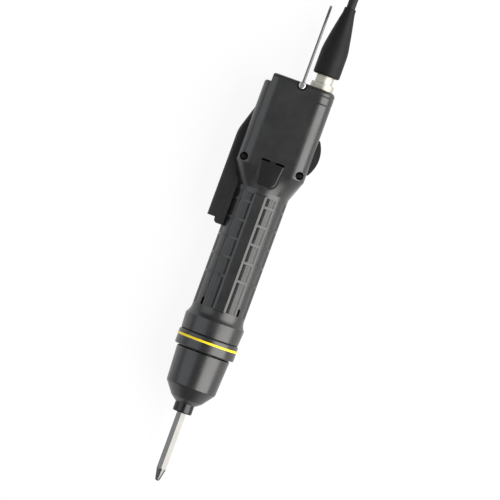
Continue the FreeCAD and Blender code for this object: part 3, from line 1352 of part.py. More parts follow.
socket_shell = turned("socket_shell", [
    (socket_bore, socket_low),
    (S.socket_radius, socket_low),
    (S.socket_radius, case_inside_top - flange_thick),
    (S.flange_radius, case_inside_top - flange_thick),
    (S.flange_radius, case_inside_top),
    (S.socket_radius, case_inside_top),
    (S.socket_radius, socket_high),
    (socket_bore, socket_high),
])
socket_nut = ring("socket_nut", S.socket_radius + S.seat_gap, S.flange_radius, housing_top,
                  housing_top + S.flange_height)
contacts = [rod(f"contact_{number}", S.contact_radius,
                (S.contact_circle * cosine(72.0 * number), S.contact_circle * sine(72.0 * number),
                 socket_low - 1),
                S.socket_depth) for number in range(5)]
socket_insert = fused("socket_insert",
                      rod("insert_disc", socket_bore - S.seat_gap, (0, 0, socket_low),
                          flange_thick), *contacts)
plug_outer = socket_bore - S.run_gap
boot_bore = plug_outer - S.plug_step + S.seat_gap
boot_low = housing_top + S.flange_height + S.plug_neck
plug_low = socket_low + flange_thick + S.clear_gap
plug_high = boot_low + S.plug_neck


def plug(name, low, high):
    """A plug shell, stepped down where the boot grips it."""
    return turned(name, [
        (plug_outer - S.plug_wall, low),
        (plug_outer, low),
        (plug_outer, boot_low - S.clear_gap),
        (boot_bore - S.seat_gap, boot_low - S.clear_gap),
        (boot_bore - S.seat_gap, high),
        (plug_outer - S.plug_wall, high),
    ])


def boot(name, low, shell_end):
    body = turned(name, [
        (boot_bore, low),
        (S.boot_radius, low),
        (S.boot_radius, low + S.boot_length),
        (S.boot_end, low + S.boot_length + S.boot_taper),
        (0, low + S.boot_length + S.boot_taper),
        (0, shell_end + S.seat_gap),
        (boot_bore, shell_end + S.seat_gap),
    ])
    rounded(body, S.collar_round, circle_at(S.boot_radius, low))
    return rounded(body, S.boot_end, circle_at(S.boot_radius, low + S.boot_length))


def plug_core(name, low, high):
    """The insulator in a plug, with a hole for each contact."""
    core = plug_outer - S.plug_wall - S.seat_gap
    holes = [rod(f"{name}_hole_{number}", S.contact_radius + S.run_gap * 2,
                 (S.contact_circle * cosine(72.0 * number), S.contact_circle * sine(72.0 * number), low - 1),
                 S.socket_depth) for number in range(5)]
    return less(name, rod(f"{name}_disc", core, (0, 0, low), high - low), *holes)


plug_shell = plug("plug_shell", plug_low, plug_high)
plug_insert = plug_core("plug_insert", plug_low + S.clear_gap, plug_high)
plug_boot = boot("plug_boot", boot_low, plug_high)
boot_high = boot_low + S.boot_length + S.boot_taper
far_plug_shell = plug("far_plug_shell", plug_low, plug_high)
far_plug_insert = plug_core("far_plug_insert", plug_low + S.clear_gap, plug_high)
far_plug_boot = boot("far_plug_boot", boot_low, plug_high)


# Wound wire and cord: tubes along arcs that meet smoothly.

def biarc(p0, t0, p1, t1):
    """Two arcs from point and direction to point and direction."""
    v = p1 - p0
    a = 2 * (t0.dot(t1) - 1)
    b = -2 * v.dot(t0 + t1)
    c = v.dot(v)
    reach = -c / b if abs(a) < 1e-9 else (-b - math.sqrt(b * b - 4 * a * c)) / (2 * a)
    if reach < 0:
        reach = (-b + math.sqrt(b * b - 4 * a * c)) / (2 * a)
    q0 = p0 + t0 * reach
    q1 = p1 - t1 * reach
    joint = (q0 + q1) * 0.5
    return [bend(p0, q0, joint), bend(joint, q1, p1)]


def bend(start, corner, end):
    """The arc that leaves start for corner and arrives at end."""
    middle = (start + end) * 0.5
    across = corner - middle
    if across.Length < 1e-6:
        return Part.LineSegment(start, end).toShape()
    half_chord = (end - start).Length / 2
    half_turn = math.atan2(across.Length, half_chord)
    top = middle + across.normalize() * (half_chord * math.tan(half_turn / 2))
    return Part.Arc(start, top, end).toShape()


def tube(edges, radius, start, direction):
    wire = Part.Wire(edges)
    section = Part.Wire(Part.makeCircle(radius, start, direction))
    return wire.makePipeShell([section], True, False)


def winding_edges(place, first, last, pieces):
    """Biarcs along a formula, between two values of its parameter."""
    step = (last - first) / pieces
    points = [place(first + step * i) for i in range(pieces + 1)]
    small = 1e-4
    along = [(place(first + step * i + small) - place(first + step * i - small)).normalize()
             for i in range(pieces + 1)]
    edges = []
    for i in range(pieces):
        edges += biarc(points[i], along[i], points[i + 1], along[i + 1])
    return edges, points, along


def spring(name, mean, wire, low, high, turns):
    """An open compression spring about z between two faces."""
    start = number_of(low) + number_of(wire) / 2
    rise = number_of(high) - number_of(low) - number_of(wire)
    around = 2 * math.pi * number_of(turns)

    def place(angle):
        return V(number_of(mean) * math.cos(angle), number_of(mean) * math.sin(angle),
                 start + rise * angle / around)

    edges, points, along = winding_edges(place, 0.0, around, int(round(number_of(turns) * 4)))
    gap = rise / number_of(turns) - number_of(wire)
    print(f"{name}: gap between turns {gap:.2f} mm")
    return fixed(name, tube(edges, number_of(wire) / 2, points[0], along[0]))


end_play = S.run_gap + S.case_gap
clutch_spring = spring("clutch_spring", S.clutch_radius, S.clutch_wire, nut_high + end_play,
                       washer_front - end_play,
                       S.clutch_turns)
collet_spring = spring("collet_spring", (S.spindle_radius + S.spring_ring + S.case_gap) / 2, S.collet_wire,
                       land_high + S.run_gap, seat_ring_low - S.run_gap, S.collet_turns)
lever_spring = spring("lever_spring", S.lever_coil, S.lever_wire, 0,
                      lever_reach - S.lever_face - rail_reach + S.lever_spring_sink - 2 * end_play,
                      S.lever_turns)

# Cord on the bench: a lead from the boot down to the bench, the hank, and a
# tail to the far plug beside it.  These points are in the laid-down frame.
cord_r = S.cord_radius.value
height = lie_height.value
exit_y = (boot_high - origin_height).value
lead_x = socket_offset.value
bench_drop = cord_r - height
LEAD_STEPS = ((0.0, 0.0), (24.0, 0.0), (64.2, bench_drop), (88.2, bench_drop))


def run_edges(points):
    """Straight runs joined by arcs as large as the runs allow, and the arcs' radii."""
    edges, start, radii = [], points[0], []
    for before, corner, after in zip(points, points[1:], points[2:]):
        into = (corner - before).normalize()
        out = (after - corner).normalize()
        trim = 0.45 * min((corner - before).Length, (after - corner).Length)
        radii.append(trim / math.tan(into.getAngle(out) / 2))
        first, last = corner - into * trim, corner + out * trim
        edges += [Part.LineSegment(start, first).toShape(), bend(first, corner, last)]
        start = last
    return edges + [Part.LineSegment(start, points[-1]).toShape()], radii


def cord_piece(name, edges, start, way):
    """A round tube along edges, with its length."""
    length = sum(edge.Length for edge in edges)
    shape = tube(edges, cord_r, start, way)
    ratio = shape.Volume / (math.pi * cord_r ** 2 * length)
    print(f"{name}: length {length:.1f} mm, volume ratio {ratio:.4f}")
    return fixed(name, shape), length


def cord_run(name, points):
    edges, radii = run_edges(points)
    print(f"{name}: bends {[round(radius, 1) for radius in radii]}")
    return cord_piece(name, edges, points[0], points[1] - points[0])


lead_points = [V(lead_x, exit_y + along, height + rise) for along, rise in LEAD_STEPS]
cord_lead, lead_length = cord_run("cord_lead", lead_points)

# The hank: long loops in two columns on each side, wound in on the bench and
# out on top of that, so that its end comes round on the outside.
pitch = S.coil_pitch.value
inside = S.hank_bend.value
outside = inside + pitch
aside = outside + cord_r + (S.boot_radius + S.case_gap).value
hank_x = lead_x - outside
hank_low = lead_points[-1].y - S.hank_lap.value
hank_high = hank_low + S.hank_run.value
# Column of each run, and the layers at which it starts and ends.
HANK = ((outside, 0, 0), (-outside, 0, 0), (inside, 0, 0), (-inside, 0, 1), (inside, 1, 1), (-outside, 1, 1),
        (outside, 1, 2), (-outside, 2, 2))


def hank_end(across, layer, going_up):
    """Where a run on that column and layer ends."""
    return V(hank_x + across, hank_high if going_up else hank_low, cord_r + pitch * layer)


hank_edges, here = [], lead_points[-1]
for number, (across, low, high) in enumerate(HANK):
    going_up = number % 2 == 0
    end = hank_end(across, high, going_up)
    way = (end - V(here.x, here.y, end.z)).normalize()
    if low == high:
        hank_edges.append(Part.LineSegment(here, end).toShape())
    else:
        ease = S.hank_run.value * 0.2
        hank_edges += run_edges([here, here + way * ease, end - way * ease, end])[0]
    last = number == len(HANK) - 1
    here = hank_end(aside if last else HANK[number + 1][0], high, going_up)
    middle = (end + here) * 0.5
    hank_edges.append(Part.Arc(end, middle + way * (here - end).Length * 0.5, here).toShape())
cord_coil, coil_length = cord_piece("cord_coil", hank_edges, lead_points[-1], V(0, 1, 0))

plug_rest = S.boot_radius.value
tail_points = [here, here + V(0, 12, 0), V(here.x, here.y + 58, plug_rest), V(here.x, here.y + 70, plug_rest)]
cord_tail, tail_length = cord_run("cord_tail", tail_points)
print(f"whole cord {(lead_length + coil_length + tail_length) / 1000:.3f} m, hank x {hank_x:.3f}, "
      f"y {hank_low:.3f} to {hank_high:.3f}, tail {tail_points}")

# Lay the tool down on its back.
LAY = FreeCAD.Rotation(V(1, 0, 0), -90)


def laid(item, x=0, y=0, z=0, extra=FreeCAD.Rotation()):
    """Place a piece drawn at (x, y, z) of the upright tool on the bench."""
    return put(item, x, z - origin_height, lie_height - y, LAY.multiply(extra))


pieces = [
    front_shell, rear_shell, case_screws, status_window, collar_ring, marker_band, torque_sleeve, torque_nut,
    gear_case, clutch_balls, thrust_washer, clutch_spring, spindle_bearing, retaining_rings, ring_gear,
    input_carrier, spindle, bit, bit_ball, spindle_rings, collet_sleeve, collet_spring, rotor_shaft,
    rotor_magnet,
    stator_core, stator_coils, motor_can, motor_front_plate, motor_rear_cap, motor_bearings, control_board,
    board_components, lever, rocker, rocker_base, bail, bail_screws,
]
for piece in pieces:
    laid(piece)
laid(bit_ball, 0, ball_reach, ball_height)
laid(control_board, board_left, board_y, board_low)
for planets in (output_planets, input_planets):
    for number, piece in enumerate(planets):
        laid(piece, planet_circle * cosine(120.0 * number), planet_circle * sine(120.0 * number))
    pieces += planets
laid(lever_pin, -lever_pivot_in, -S.lever_pin_length / 2, lever_pivot, TURN["y"])
laid(rocker_pin, rocker_pivot_in, -(ear_y + S.ear_thick), rocker_level, TURN["y"])
laid(lever_spring, -(rail_reach - S.lever_spring_sink + end_play), 0, lever_bottom + S.lever_spring_rise,
     FreeCAD.Rotation(V(0, 1, 0), -90))
at_socket = [socket_shell, socket_nut, socket_insert, plug_shell, plug_insert, plug_boot]
for piece in at_socket:
    laid(piece, socket_offset)
pieces += [lever_pin, rocker_pin, lever_spring] + at_socket

# The far plug lies with its boot's end against the tail.
tail_end = tail_points[-1]
far_plug = [far_plug_shell, far_plug_insert, far_plug_boot]
for piece in far_plug:
    piece.Placement = FreeCAD.Placement(tail_end + V(0, boot_high.value, 0), FreeCAD.Rotation(V(1, 0, 0), 90))
pieces += far_plug + [cord_lead, cord_coil, cord_tail]

doc.recompute()
os.makedirs("parts", exist_ok=True)
bad = [item.Name for item in doc.Objects if "Invalid" in item.State or "Error" in item.State]
if bad:
    raise RuntimeError(f"failed objects: {bad}")
for piece in pieces:
    piece.Label = piece.Name
    shape = piece.Shape
    if shape.isNull() or not shape.isValid() or not shape.Solids:
        raise RuntimeError(f"{piece.Name} has no valid solid")
for piece in pieces:
    piece.Shape.exportStep(f"parts/{piece.Name}.step")
print(f"{len(pieces)} pieces")
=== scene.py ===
import json
from math import cos, pi, radians, sin

import bpy
import numpy as np
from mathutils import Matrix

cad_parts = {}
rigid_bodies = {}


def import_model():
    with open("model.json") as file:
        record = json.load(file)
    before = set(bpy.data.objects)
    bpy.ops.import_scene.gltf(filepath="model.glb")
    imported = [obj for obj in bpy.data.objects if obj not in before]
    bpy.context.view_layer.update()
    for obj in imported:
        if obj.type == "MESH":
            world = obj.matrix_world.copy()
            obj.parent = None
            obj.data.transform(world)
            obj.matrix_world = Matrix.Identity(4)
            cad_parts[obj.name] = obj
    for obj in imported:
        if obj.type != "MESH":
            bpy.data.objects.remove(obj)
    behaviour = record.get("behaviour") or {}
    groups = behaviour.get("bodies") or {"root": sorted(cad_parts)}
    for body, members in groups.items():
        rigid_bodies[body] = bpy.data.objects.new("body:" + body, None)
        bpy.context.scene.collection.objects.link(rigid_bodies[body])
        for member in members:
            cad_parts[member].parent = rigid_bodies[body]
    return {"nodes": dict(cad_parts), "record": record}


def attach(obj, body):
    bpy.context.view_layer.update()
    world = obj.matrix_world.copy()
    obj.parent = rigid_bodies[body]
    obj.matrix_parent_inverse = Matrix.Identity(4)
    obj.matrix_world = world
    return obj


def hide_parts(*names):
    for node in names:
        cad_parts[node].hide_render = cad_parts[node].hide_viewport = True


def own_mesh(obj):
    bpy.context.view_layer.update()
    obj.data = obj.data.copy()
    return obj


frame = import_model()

for spare in [o for o in bpy.data.objects if o.name in ("Cube", "Light", "Camera")]:
    bpy.data.objects.remove(spare)
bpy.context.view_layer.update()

MM = 0.001
SCENE = bpy.context.scene
AXIS_HEIGHT = 21.0        # the tool's axis above the bench, mm
SOCKET_X = 13.4           # the lead's axis beside the tool's, mm

# Camera: straight above the tool, turned so that the tool leans 20 degrees to the right in the picture.

CAMERA_PLACE = (0.0056, -0.0853, 2.289)    # m
CAMERA_LEAN = radians(20.07)
camera_data = bpy.data.cameras.new("camera")
camera_data.lens = 244.0
camera_data.sensor_width = 36.0
camera_data.clip_end = 20.0
camera = bpy.data.objects.new("camera", camera_data)
camera.location = CAMERA_PLACE
camera.rotation_euler = (0.0, 0.0, CAMERA_LEAN)
SCENE.collection.objects.link(camera)
SCENE.camera = camera
SCENE.view_settings.view_transform = "Standard"


# Surfaces: arrays of points in millimetres, rows by columns, put into meshes whole.

def signed_volume(points, quads):
    """Sum of the tetrahedra from the origin to each half of each quad; positive if the faces look out."""
    a, b, c, d = (points[quads[:, k]] for k in range(4))
    return np.einsum("ij,ij->", a, np.cross(b, c)) + np.einsum("ij,ij->", a, np.cross(c, d))


def sheet_faces(rows, columns, wrap_rows):
    """Faces of a grid whose columns close on themselves, and its rows too when wrap_rows is true."""
    here = np.arange(rows * columns).reshape(rows, columns)
    ahead = np.roll(here, -1, axis=0)
    if not wrap_rows:
        here, ahead = here[:-1], ahead[:-1]
    return np.stack([here, np.roll(here, -1, 1), np.roll(ahead, -1, 1), ahead], -1).reshape(-1, 4)


def solid_from_grids(name, grids, wrap_rows=False, crease=35.0):
    """One mesh from closed grids of points: each grid's quads, and a flat cap on each open end row."""
    points, faces, start = [], [], 0
    for grid in grids:
        rows, columns = grid.shape[:2]
        flat = grid.reshape(-1, 3) * MM
        quads = sheet_faces(rows, columns, wrap_rows)
        outward = signed_volume(flat - flat.mean(0), quads) > 0
        quads = quads if outward else quads[:, ::-1]
        faces += (quads + start).tolist()
        if not wrap_rows:
            first = np.arange(columns) + start
            last = first + (rows - 1) * columns
            ends = (first[::-1], last) if outward else (first, last[::-1])
            faces += [end.tolist() for end in ends]
        points.append(flat)
        start += rows * columns
    mesh = bpy.data.meshes.new(name)
    mesh.from_pydata(np.concatenate(points).tolist(), [], faces)
    mesh.shade_smooth()
    mesh.set_sharp_from_angle(angle=radians(crease))
    mesh.validate()
    piece = bpy.data.objects.new(name, mesh)
    SCENE.collection.objects.link(piece)
    return piece


def soften(profile, radius, steps=5):
    """Rounds a profile's corners: each inner corner becomes a quadratic curve from radius before it to radius
    after it, or from just short of the middle of its shorter side where that is nearer."""
    most_of_side = 0.45
    profile, radius = np.asarray(profile, float), np.broadcast_to(radius, len(profile))
    corner = profile[1:-1]
    to_before, to_after = profile[:-2] - corner, profile[2:] - corner
    before, after = (np.linalg.norm(side, axis=1)[:, None] for side in (to_before, to_after))
    reach = np.minimum(radius[1:-1, None], most_of_side * np.minimum(before, after))
    p, q = corner + to_before / before * reach, corner + to_after / after * reach
    t = np.linspace(0, 1, steps)[None, :, None]
    arcs = p[:, None] * (1 - t) ** 2 + corner[:, None] * 2 * t * (1 - t) + q[:, None] * t ** 2
    return np.concatenate([profile[:1], arcs.reshape(-1, 2), profile[-1:]])


def lathe(profile, centre_x, centre_z, columns=96):
    """Profile of radius and Y turned about an axis along Y: x = cx + r cos t, y = y, z = cz + r sin t."""
    turn = np.linspace(0, 2 * pi, columns, endpoint=False)[None, :]
    radius, along = profile[:, :1], profile[:, 1:]
    return np.stack([centre_x + radius * np.cos(turn), along + 0 * turn,
                     centre_z + radius * np.sin(turn)], -1)


def turned(name, profile, centre, start=0.0, sign=1, closed=True):
    """Piece turned about the axis at centre from a profile of radius and distance along Y from its start."""
    profile = np.stack([profile[:, 0], start + sign * profile[:, 1]], -1)
    return solid_from_grids(name, [lathe(profile, *centre)], wrap_rows=closed)


# The lead: out of the boot, down to the bench, into a tied hank of three layers, round it to the far plug.

CORD_RADIUS, HANK_PITCH = 3.0, 6.6
HANK_X, HANK_LOW, HANK_HIGH = -11.2, 170.0, 288.0
INSIDE, OUTSIDE, ASIDE = 18.0, 24.6, 37.0     # the hank's columns and the tail, from the hank's middle
HANK_LAYERS = CORD_RADIUS + HANK_PITCH * np.arange(3)
RISE_EASE = 23.6                              # a rising run is level this far from each bend
FAR_PLUG_X, PLUG_REST = HANK_X + ASIDE, 9.2
LEAD_ROUTE = np.array([(SOCKET_X, 89.45, AXIS_HEIGHT), (SOCKET_X, 113.45, AXIS_HEIGHT),
                       (SOCKET_X, 153.65, CORD_RADIUS), (SOCKET_X, 177.65, CORD_RADIUS)])
FIRST_RISE = np.array([(HANK_X - INSIDE, HANK_HIGH - RISE_EASE, HANK_LAYERS[0]),
                       (HANK_X - INSIDE, HANK_LOW + RISE_EASE, HANK_LAYERS[1])])
SECOND_RISE = np.array([(HANK_X + OUTSIDE, HANK_LOW + RISE_EASE, HANK_LAYERS[1]),
                        (HANK_X + OUTSIDE, HANK_HIGH - RISE_EASE, HANK_LAYERS[2])])
TAIL_ROUTE = np.array([(FAR_PLUG_X, 182.0, HANK_LAYERS[2]), (FAR_PLUG_X, 228.0, PLUG_REST),
                       (FAR_PLUG_X, 240.0, PLUG_REST)])
BEND_STEPS = 8


def hank_bends():
    """Control points of the hank's half-round ends, bend by bend. Each bend runs from one column to the next
    about its own centre, and its points stand on the polygon round that arc, so that the spline follows the
    arc."""
    start = np.array([OUTSIDE, -OUTSIDE, INSIDE, -INSIDE, INSIDE, -OUTSIDE, OUTSIDE, -OUTSIDE])[:, None]
    end = np.array([-OUTSIDE, INSIDE, -INSIDE, INSIDE, -OUTSIDE, OUTSIDE, -OUTSIDE, ASIDE])[:, None]
    layer = HANK_LAYERS[[0, 0, 0, 1, 1, 1, 2, 2]][:, None]
    far = (np.arange(len(start)) % 2 == 0)[:, None]
    turn = (np.arange(BEND_STEPS) + 0.5)[None, :] * pi / BEND_STEPS
    radius = np.abs(end - start) / 2
    reach = radius / cos(pi / (2 * BEND_STEPS))
    x = HANK_X + (start + end) / 2 + np.where(far, 1, -1) * reach * np.cos(turn)
    y = np.where(far, HANK_HIGH, HANK_LOW) + np.where(far, 1, -1) * reach * np.sin(turn)
    return np.stack([x, y, layer + 0 * x], -1)


def lead(name):
    """Round section carried along one NURBS spline whose control points are the lead's route."""
    bends = hank_bends()
    route = np.concatenate([LEAD_ROUTE, *bends[:3], FIRST_RISE, *bends[3:6], SECOND_RISE, *bends[6:],
                            TAIL_ROUTE]) * MM
    curve = bpy.data.curves.new(name, "CURVE")
    curve.dimensions = "3D"
    curve.bevel_depth = 1.0
    curve.bevel_resolution = 5
    curve.resolution_u = 6
    curve.use_fill_caps = True
    spline = curve.splines.new("NURBS")
    spline.points.add(len(route) - 1)
    spline.points.foreach_set("co", np.c_[route, np.ones(len(route))].astype(np.float32).ravel())
    spline.points.foreach_set("radius", np.full(len(route), CORD_RADIUS * MM, np.float32))
    spline.order_u = 3
    spline.use_endpoint_u = True
    piece = bpy.data.objects.new(name, curve)
    SCENE.collection.objects.link(piece)
    return piece


def drawn_out(wave, power):
    """A wave between -1 and 1 with flat, wide crests: its sign times its size to a power."""
    return np.sign(wave) * np.abs(wave) ** power


def tie(name, along_y=206.0, width=11.0, thick=0.9):
    """Strap round the hank: a flat section with rounded edges carried round a rounded rectangle, whose end
    laps over its start. Row k is the section at the k-th point of that path; each side of the path is a power
    of a sine."""
    slack_wide, slack_high = 0.25, 0.1
    half_wide = OUTSIDE + CORD_RADIUS + slack_wide
    half_high = (HANK_LAYERS[-1] + CORD_RADIUS) / 2 + slack_high
    lap_start, lap_run, lap_rise = 0.93, 0.05, 1.1 * thick
    bench_gap, pressed_thin = 0.02, 0.3
    t = np.linspace(-0.04, 1.08, 240)
    turn = 2 * pi * t + pi / 2
    lap = lap_rise * np.clip((t - lap_start) / lap_run, 0, 1)
    path_x = HANK_X + (half_wide + lap) * drawn_out(np.cos(turn), 0.12)
    path_z = half_high + (half_high + lap) * drawn_out(np.sin(turn), 0.3)
    step_x, step_z = np.gradient(path_x), np.gradient(path_z)
    size = np.hypot(step_x, step_z)
    out_x, out_z = step_z / size, -step_x / size
    around = np.linspace(0, 2 * pi, 20, endpoint=False)
    across = width / 2 * drawn_out(np.cos(around), 0.35)
    depth = thick / 2 * (1 + drawn_out(np.sin(around), 0.6))
    x = path_x[:, None] + out_x[:, None] * depth
    z = np.maximum(path_z[:, None] + out_z[:, None] * depth, bench_gap + pressed_thin * depth)
    y = along_y + across[None, :] + 0 * x
    return solid_from_grids(name, [np.stack([x, y, z], -1)], crease=60.0)


# Plug and socket: turned pieces with the small rounds that stamped and moulded ones have.

NEAR_AXIS, FAR_AXIS = (SOCKET_X, AXIS_HEIGHT), (FAR_PLUG_X, PLUG_REST)


def boot(name, centre, start, sign):
    """Boot turned from its profile: a bore, a rolled front lip, a straight grip and a taper that ends on the
    lead."""
    bore, grip, tail, lead_hole, length = 5.55, 9.2, 4.0, 3.2, 48.0
    profile = soften([(bore, 5.6), (bore, 0.0), (grip, 0.0), (grip, 18.0), (6.5, 33.2), (4.15, 44.5),
                      (tail, length), (lead_hole, length)], [0, 0.3, 1.5, 4.0, 6.0, 4.0, 0.5, 0], 8)
    return turned(name, profile, centre, start, sign, closed=False)


def plug_barrel(name, centre, start, sign):
    """Plug shell turned from its profile: a bright tube with a rolled rim, and a step where the boot grips
    it."""
    bore, middle, outside, rim, step, shoulder, end = 4.97, 12.0, 5.93, 0.02, 5.45, 19.0, 24.8
    profile = soften([(bore, middle), (bore, rim), (outside, rim), (outside, shoulder), (step, shoulder),
                      (step, end), (bore, end), (bore, middle)], [0, 0.2, 0.4, 0.15, 0.12, 0.1, 0.1, 0])[:-1]
    return turned(name, profile, centre, start, sign)


def socket_ring(name):
    """Ring round the socket: a closed profile with rolled outer edges, turned about the lead's axis."""
    inside, middle, outside, seat, front = 6.95, 7.4, 7.9, 31.28, 35.85
    profile = soften([(middle, seat), (outside, seat), (outside, front), (inside, front), (inside, seat),
                      (middle, seat)], [0, 0.2, 0.7, 0.25, 0.1, 0], 6)[:-1]
    return turned(name, profile, NEAR_AXIS)


# Small pieces on the case.

def turned_rings(name, spans, edge):
    """Rings about the tool's axis, each from a low to a high Y and from an inner to an outer radius: closed
    profiles with rounded edges, turned."""
    profiles = [soften([(inner, (low + high) / 2), (inner, low), (outer, low), (outer, high), (inner, high),
                        (inner, (low + high) / 2)], edge, 4)[:-1] for low, high, inner, outer in spans]
    return solid_from_grids(name, [lathe(profile, 0.0, AXIS_HEIGHT) for profile in profiles], wrap_rows=True)


def window_lens(name, back=40.62, front=42.0):
    """Shield-shaped lens: its outline, which leaves room for the two light slits and is round at its foot,
    carried up in rings; the last rings step in along the outline's normals as a chamfer, except along the
    slits."""
    top, slit_low, shoulder, foot = -24.95, -26.25, -27.0, -42.55
    slit_edge, slit_share = slit_low - 0.3, 0.12
    right = [(2.1, top), (2.1, slit_low), (8.17, slit_low), (8.09, shoulder), (6.5, foot)]
    left = [(-x, y) for x, y in right[::-1]]
    rounds = [0.15, 0.15, 0.3, 0.25, 5.3]
    outline = soften([(0, top), *right, *left, (0, top)], [0, *rounds, *rounds[::-1], 0], 9)[:-1]
    along = np.roll(outline, -1, 0) - np.roll(outline, 1, 0)
    inward = np.stack([along[:, 1], -along[:, 0]], -1) / np.linalg.norm(along, axis=1)[:, None]
    inward = inward * np.where(outline[:, 1:] > slit_edge, slit_share, 1.0)
    step = np.array([0.0, 0.0, 0.04, 0.48, 0.54])[:, None, None]
    level = np.array([back, front - 0.28, front - 0.25, front - 0.02, front])[:, None, None]
    ring = outline[None] + inward[None] * step
    return solid_from_grids(name, [np.concatenate([ring, level + 0 * ring[..., :1]], -1)], crease=20.0)


def cross_screw(centre_x, along_y, end, seat, face=1, shank=1.5, head=2.55, high=2.2):
    """Screw with a cross recess, by distance from the tool's axis towards one face: circles up the shank and
    round the head, then the cross, whose edge lies at the smaller of its arm's length and its half width over
    the sine of the turn, down to the recess's floor."""
    arm_length, arm_half, point, taper = 0.6 * head, 0.13 * head, 0.75 * shank, 0.8
    floor_share, recess_deep = 0.6, 0.5 * high
    turn = np.linspace(0, 2 * pi, 96, endpoint=False)
    folded = np.abs((turn + pi / 4) % (pi / 2) - pi / 4)
    cross = np.minimum(arm_length, arm_half / np.maximum(np.sin(folded), 1e-6))
    top = seat + high
    dome = [(head, top - 0.5 * high), (0.95 * head, top - 0.24 * high), (0.82 * head, top - 0.07 * high),
            (0.68 * head, top)]
    circles = np.array([(point, end), (shank, end + taper), (shank, seat), (head, seat), *dome])
    radius = np.concatenate([circles[:, :1] + 0 * turn, cross[None], floor_share * cross[None]])
    level = np.append(circles[:, 1], [top, top - recess_deep])[:, None]
    return np.stack([centre_x + radius * np.cos(turn), along_y + radius * np.sin(turn),
                     AXIS_HEIGHT + face * (level + 0 * radius)], -1)


# Springs: coils of round wire on their seats.

def coil(mean, wire, length, turns, rows_per_turn=40, columns=12):
    """Round wire carried along a helix about the third axis: the centre line turns at the mean radius and
    climbs evenly, and each section stands square to it."""
    turn = np.linspace(0, 2 * pi * turns, rows_per_turn * turns + 1)[:, None]
    around = np.linspace(0, 2 * pi, columns, endpoint=False)[None, :]
    climb = (length - wire) / (2 * pi * turns)
    slope = climb / np.hypot(mean, climb)
    out = mean + wire / 2 * np.cos(around)
    aside = wire / 2 * np.sin(around)
    return np.stack([out * np.cos(turn) + aside * slope * np.sin(turn),
                     out * np.sin(turn) - aside * slope * np.cos(turn),
                     wire / 2 + climb * turn + aside * np.sqrt(1 - slope ** 2)], -1)


def spring(name, body, seat, axis, sizes):
    """A coil from its seat along X or Y. Its sizes are its mean radius, wire, length and turns."""
    axis = np.array(axis, float)
    across = np.array([1.0, 0, 0]) if axis[1] else np.array([0, 1.0, 0])
    points = coil(*sizes) @ np.stack([across, np.cross(axis, across), axis]) + seat
    piece = add(solid_from_grids(name + "_wire", [points]), body, "spring_steel", name)
    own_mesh(piece)


# The grip's pattern: strips that run along it, over the case's own cells and channels.

GRIP_LOW, GRIP_HIGH, END_GAP = -130.05, -49.15, 0.03
STATIONS = np.array([GRIP_LOW + END_GAP, GRIP_HIGH - END_GAP])
BARREL, CELL_FLOOR, STRIP_ROOT = 18.4, 17.5, 17.2
FLOOR_START, FLOOR_RIDGE, FLOOR_END = 19.9, 22.4, 31.0    # degrees from the middle of a face


def directions(angle):
    """Unit vectors of x and distance from the axis at angles from the middle of a face."""
    return np.stack([np.sin(angle), np.cos(angle)], -1)


def carried(section, side, face):
    """A closed section of x and distance from the axis, carried straight along one side of one face."""
    x = side * section[None, :, 0] + 0 * STATIONS[:, None]
    return np.stack([x, STATIONS[:, None] + 0 * x, AXIS_HEIGHT + face * (section[None, :, 1] + 0 * x)], -1)


def centre_strip(face):
    """Flat strip with sloping edges: offsets from two lines along Y, joined underneath. In the end rows the
    offsets shrink as the cosine while the row runs out by the sine, which rounds the strip's ends."""
    edge_x, edge_level, root_level, run_out = 3.283, 17.546, 16.9, 1.03
    swing = np.linspace(0, pi / 2, 7)
    slope = soften([(-0.3, 1.2), (-0.1, 1.2), (1.45, 0.445), (1.45, 0.0)], [0, 0.2, 0.2, 0], 4)
    offset = np.concatenate([slope[::-1] * (-1, 1), slope])
    shrink = np.concatenate([np.cos(swing[::-1]), np.cos(swing)])[:, None]
    along = np.concatenate([GRIP_LOW - run_out * np.sin(swing[::-1]),
                            GRIP_HIGH + run_out * np.sin(swing)])[:, None]
    x = np.repeat([-edge_x, edge_x], len(slope)) + shrink * offset[:, 0]
    level = edge_level + shrink * offset[:, 1]
    root = root_level + 0 * shrink
    x = np.concatenate([x, x[:, -1:], x[:, :1]], 1)
    level = np.concatenate([level, root, root], 1)
    return np.stack([x, along + 0 * x, AXIS_HEIGHT + face * level], -1)


def cell_floor(side, face):
    """Floor of a column of cells: the radius climbs from the floor to a low ridge beside the channel and
    falls back, both as straight lines of the angle."""
    lift, ridge_height, past_ridge = 0.03, 0.34, 23.2
    angle = np.concatenate([np.linspace(FLOOR_START, FLOOR_RIDGE, 4), np.linspace(past_ridge, FLOOR_END, 6)])
    ridge = np.minimum((angle - FLOOR_START) / (FLOOR_RIDGE - FLOOR_START),
                       (FLOOR_END - angle) / (FLOOR_END - FLOOR_RIDGE))
    around = directions(np.radians(angle))
    outer = (CELL_FLOOR + lift + ridge_height * ridge)[:, None] * around
    return carried(np.concatenate([outer, STRIP_ROOT * around[::-1]]), side, face)


def cell_ramp(start, end, side, face):
    """Slope that fades a column's outer wall: the radius climbs from the cell's floor to the barrel as a
    smooth step of the angle."""
    low, high = CELL_FLOOR - 0.04, BARREL - 0.02
    share = np.linspace(0, 1, 12)
    around = directions(np.radians(start + (end - start) * share))
    outer = (low + (high - low) * share ** 2 * (3 - 2 * share))[:, None] * around
    return carried(np.concatenate([outer, STRIP_ROOT * around[::-1]]), side, face)


def channel_floor(side, face):
    """Flat floor of the channel beside the centre strip, narrower underneath."""
    level, root = 16.42, 16.1
    return carried(np.array([(4.55, level), (6.08, level), (5.75, root), (4.85, root)]), side, face)


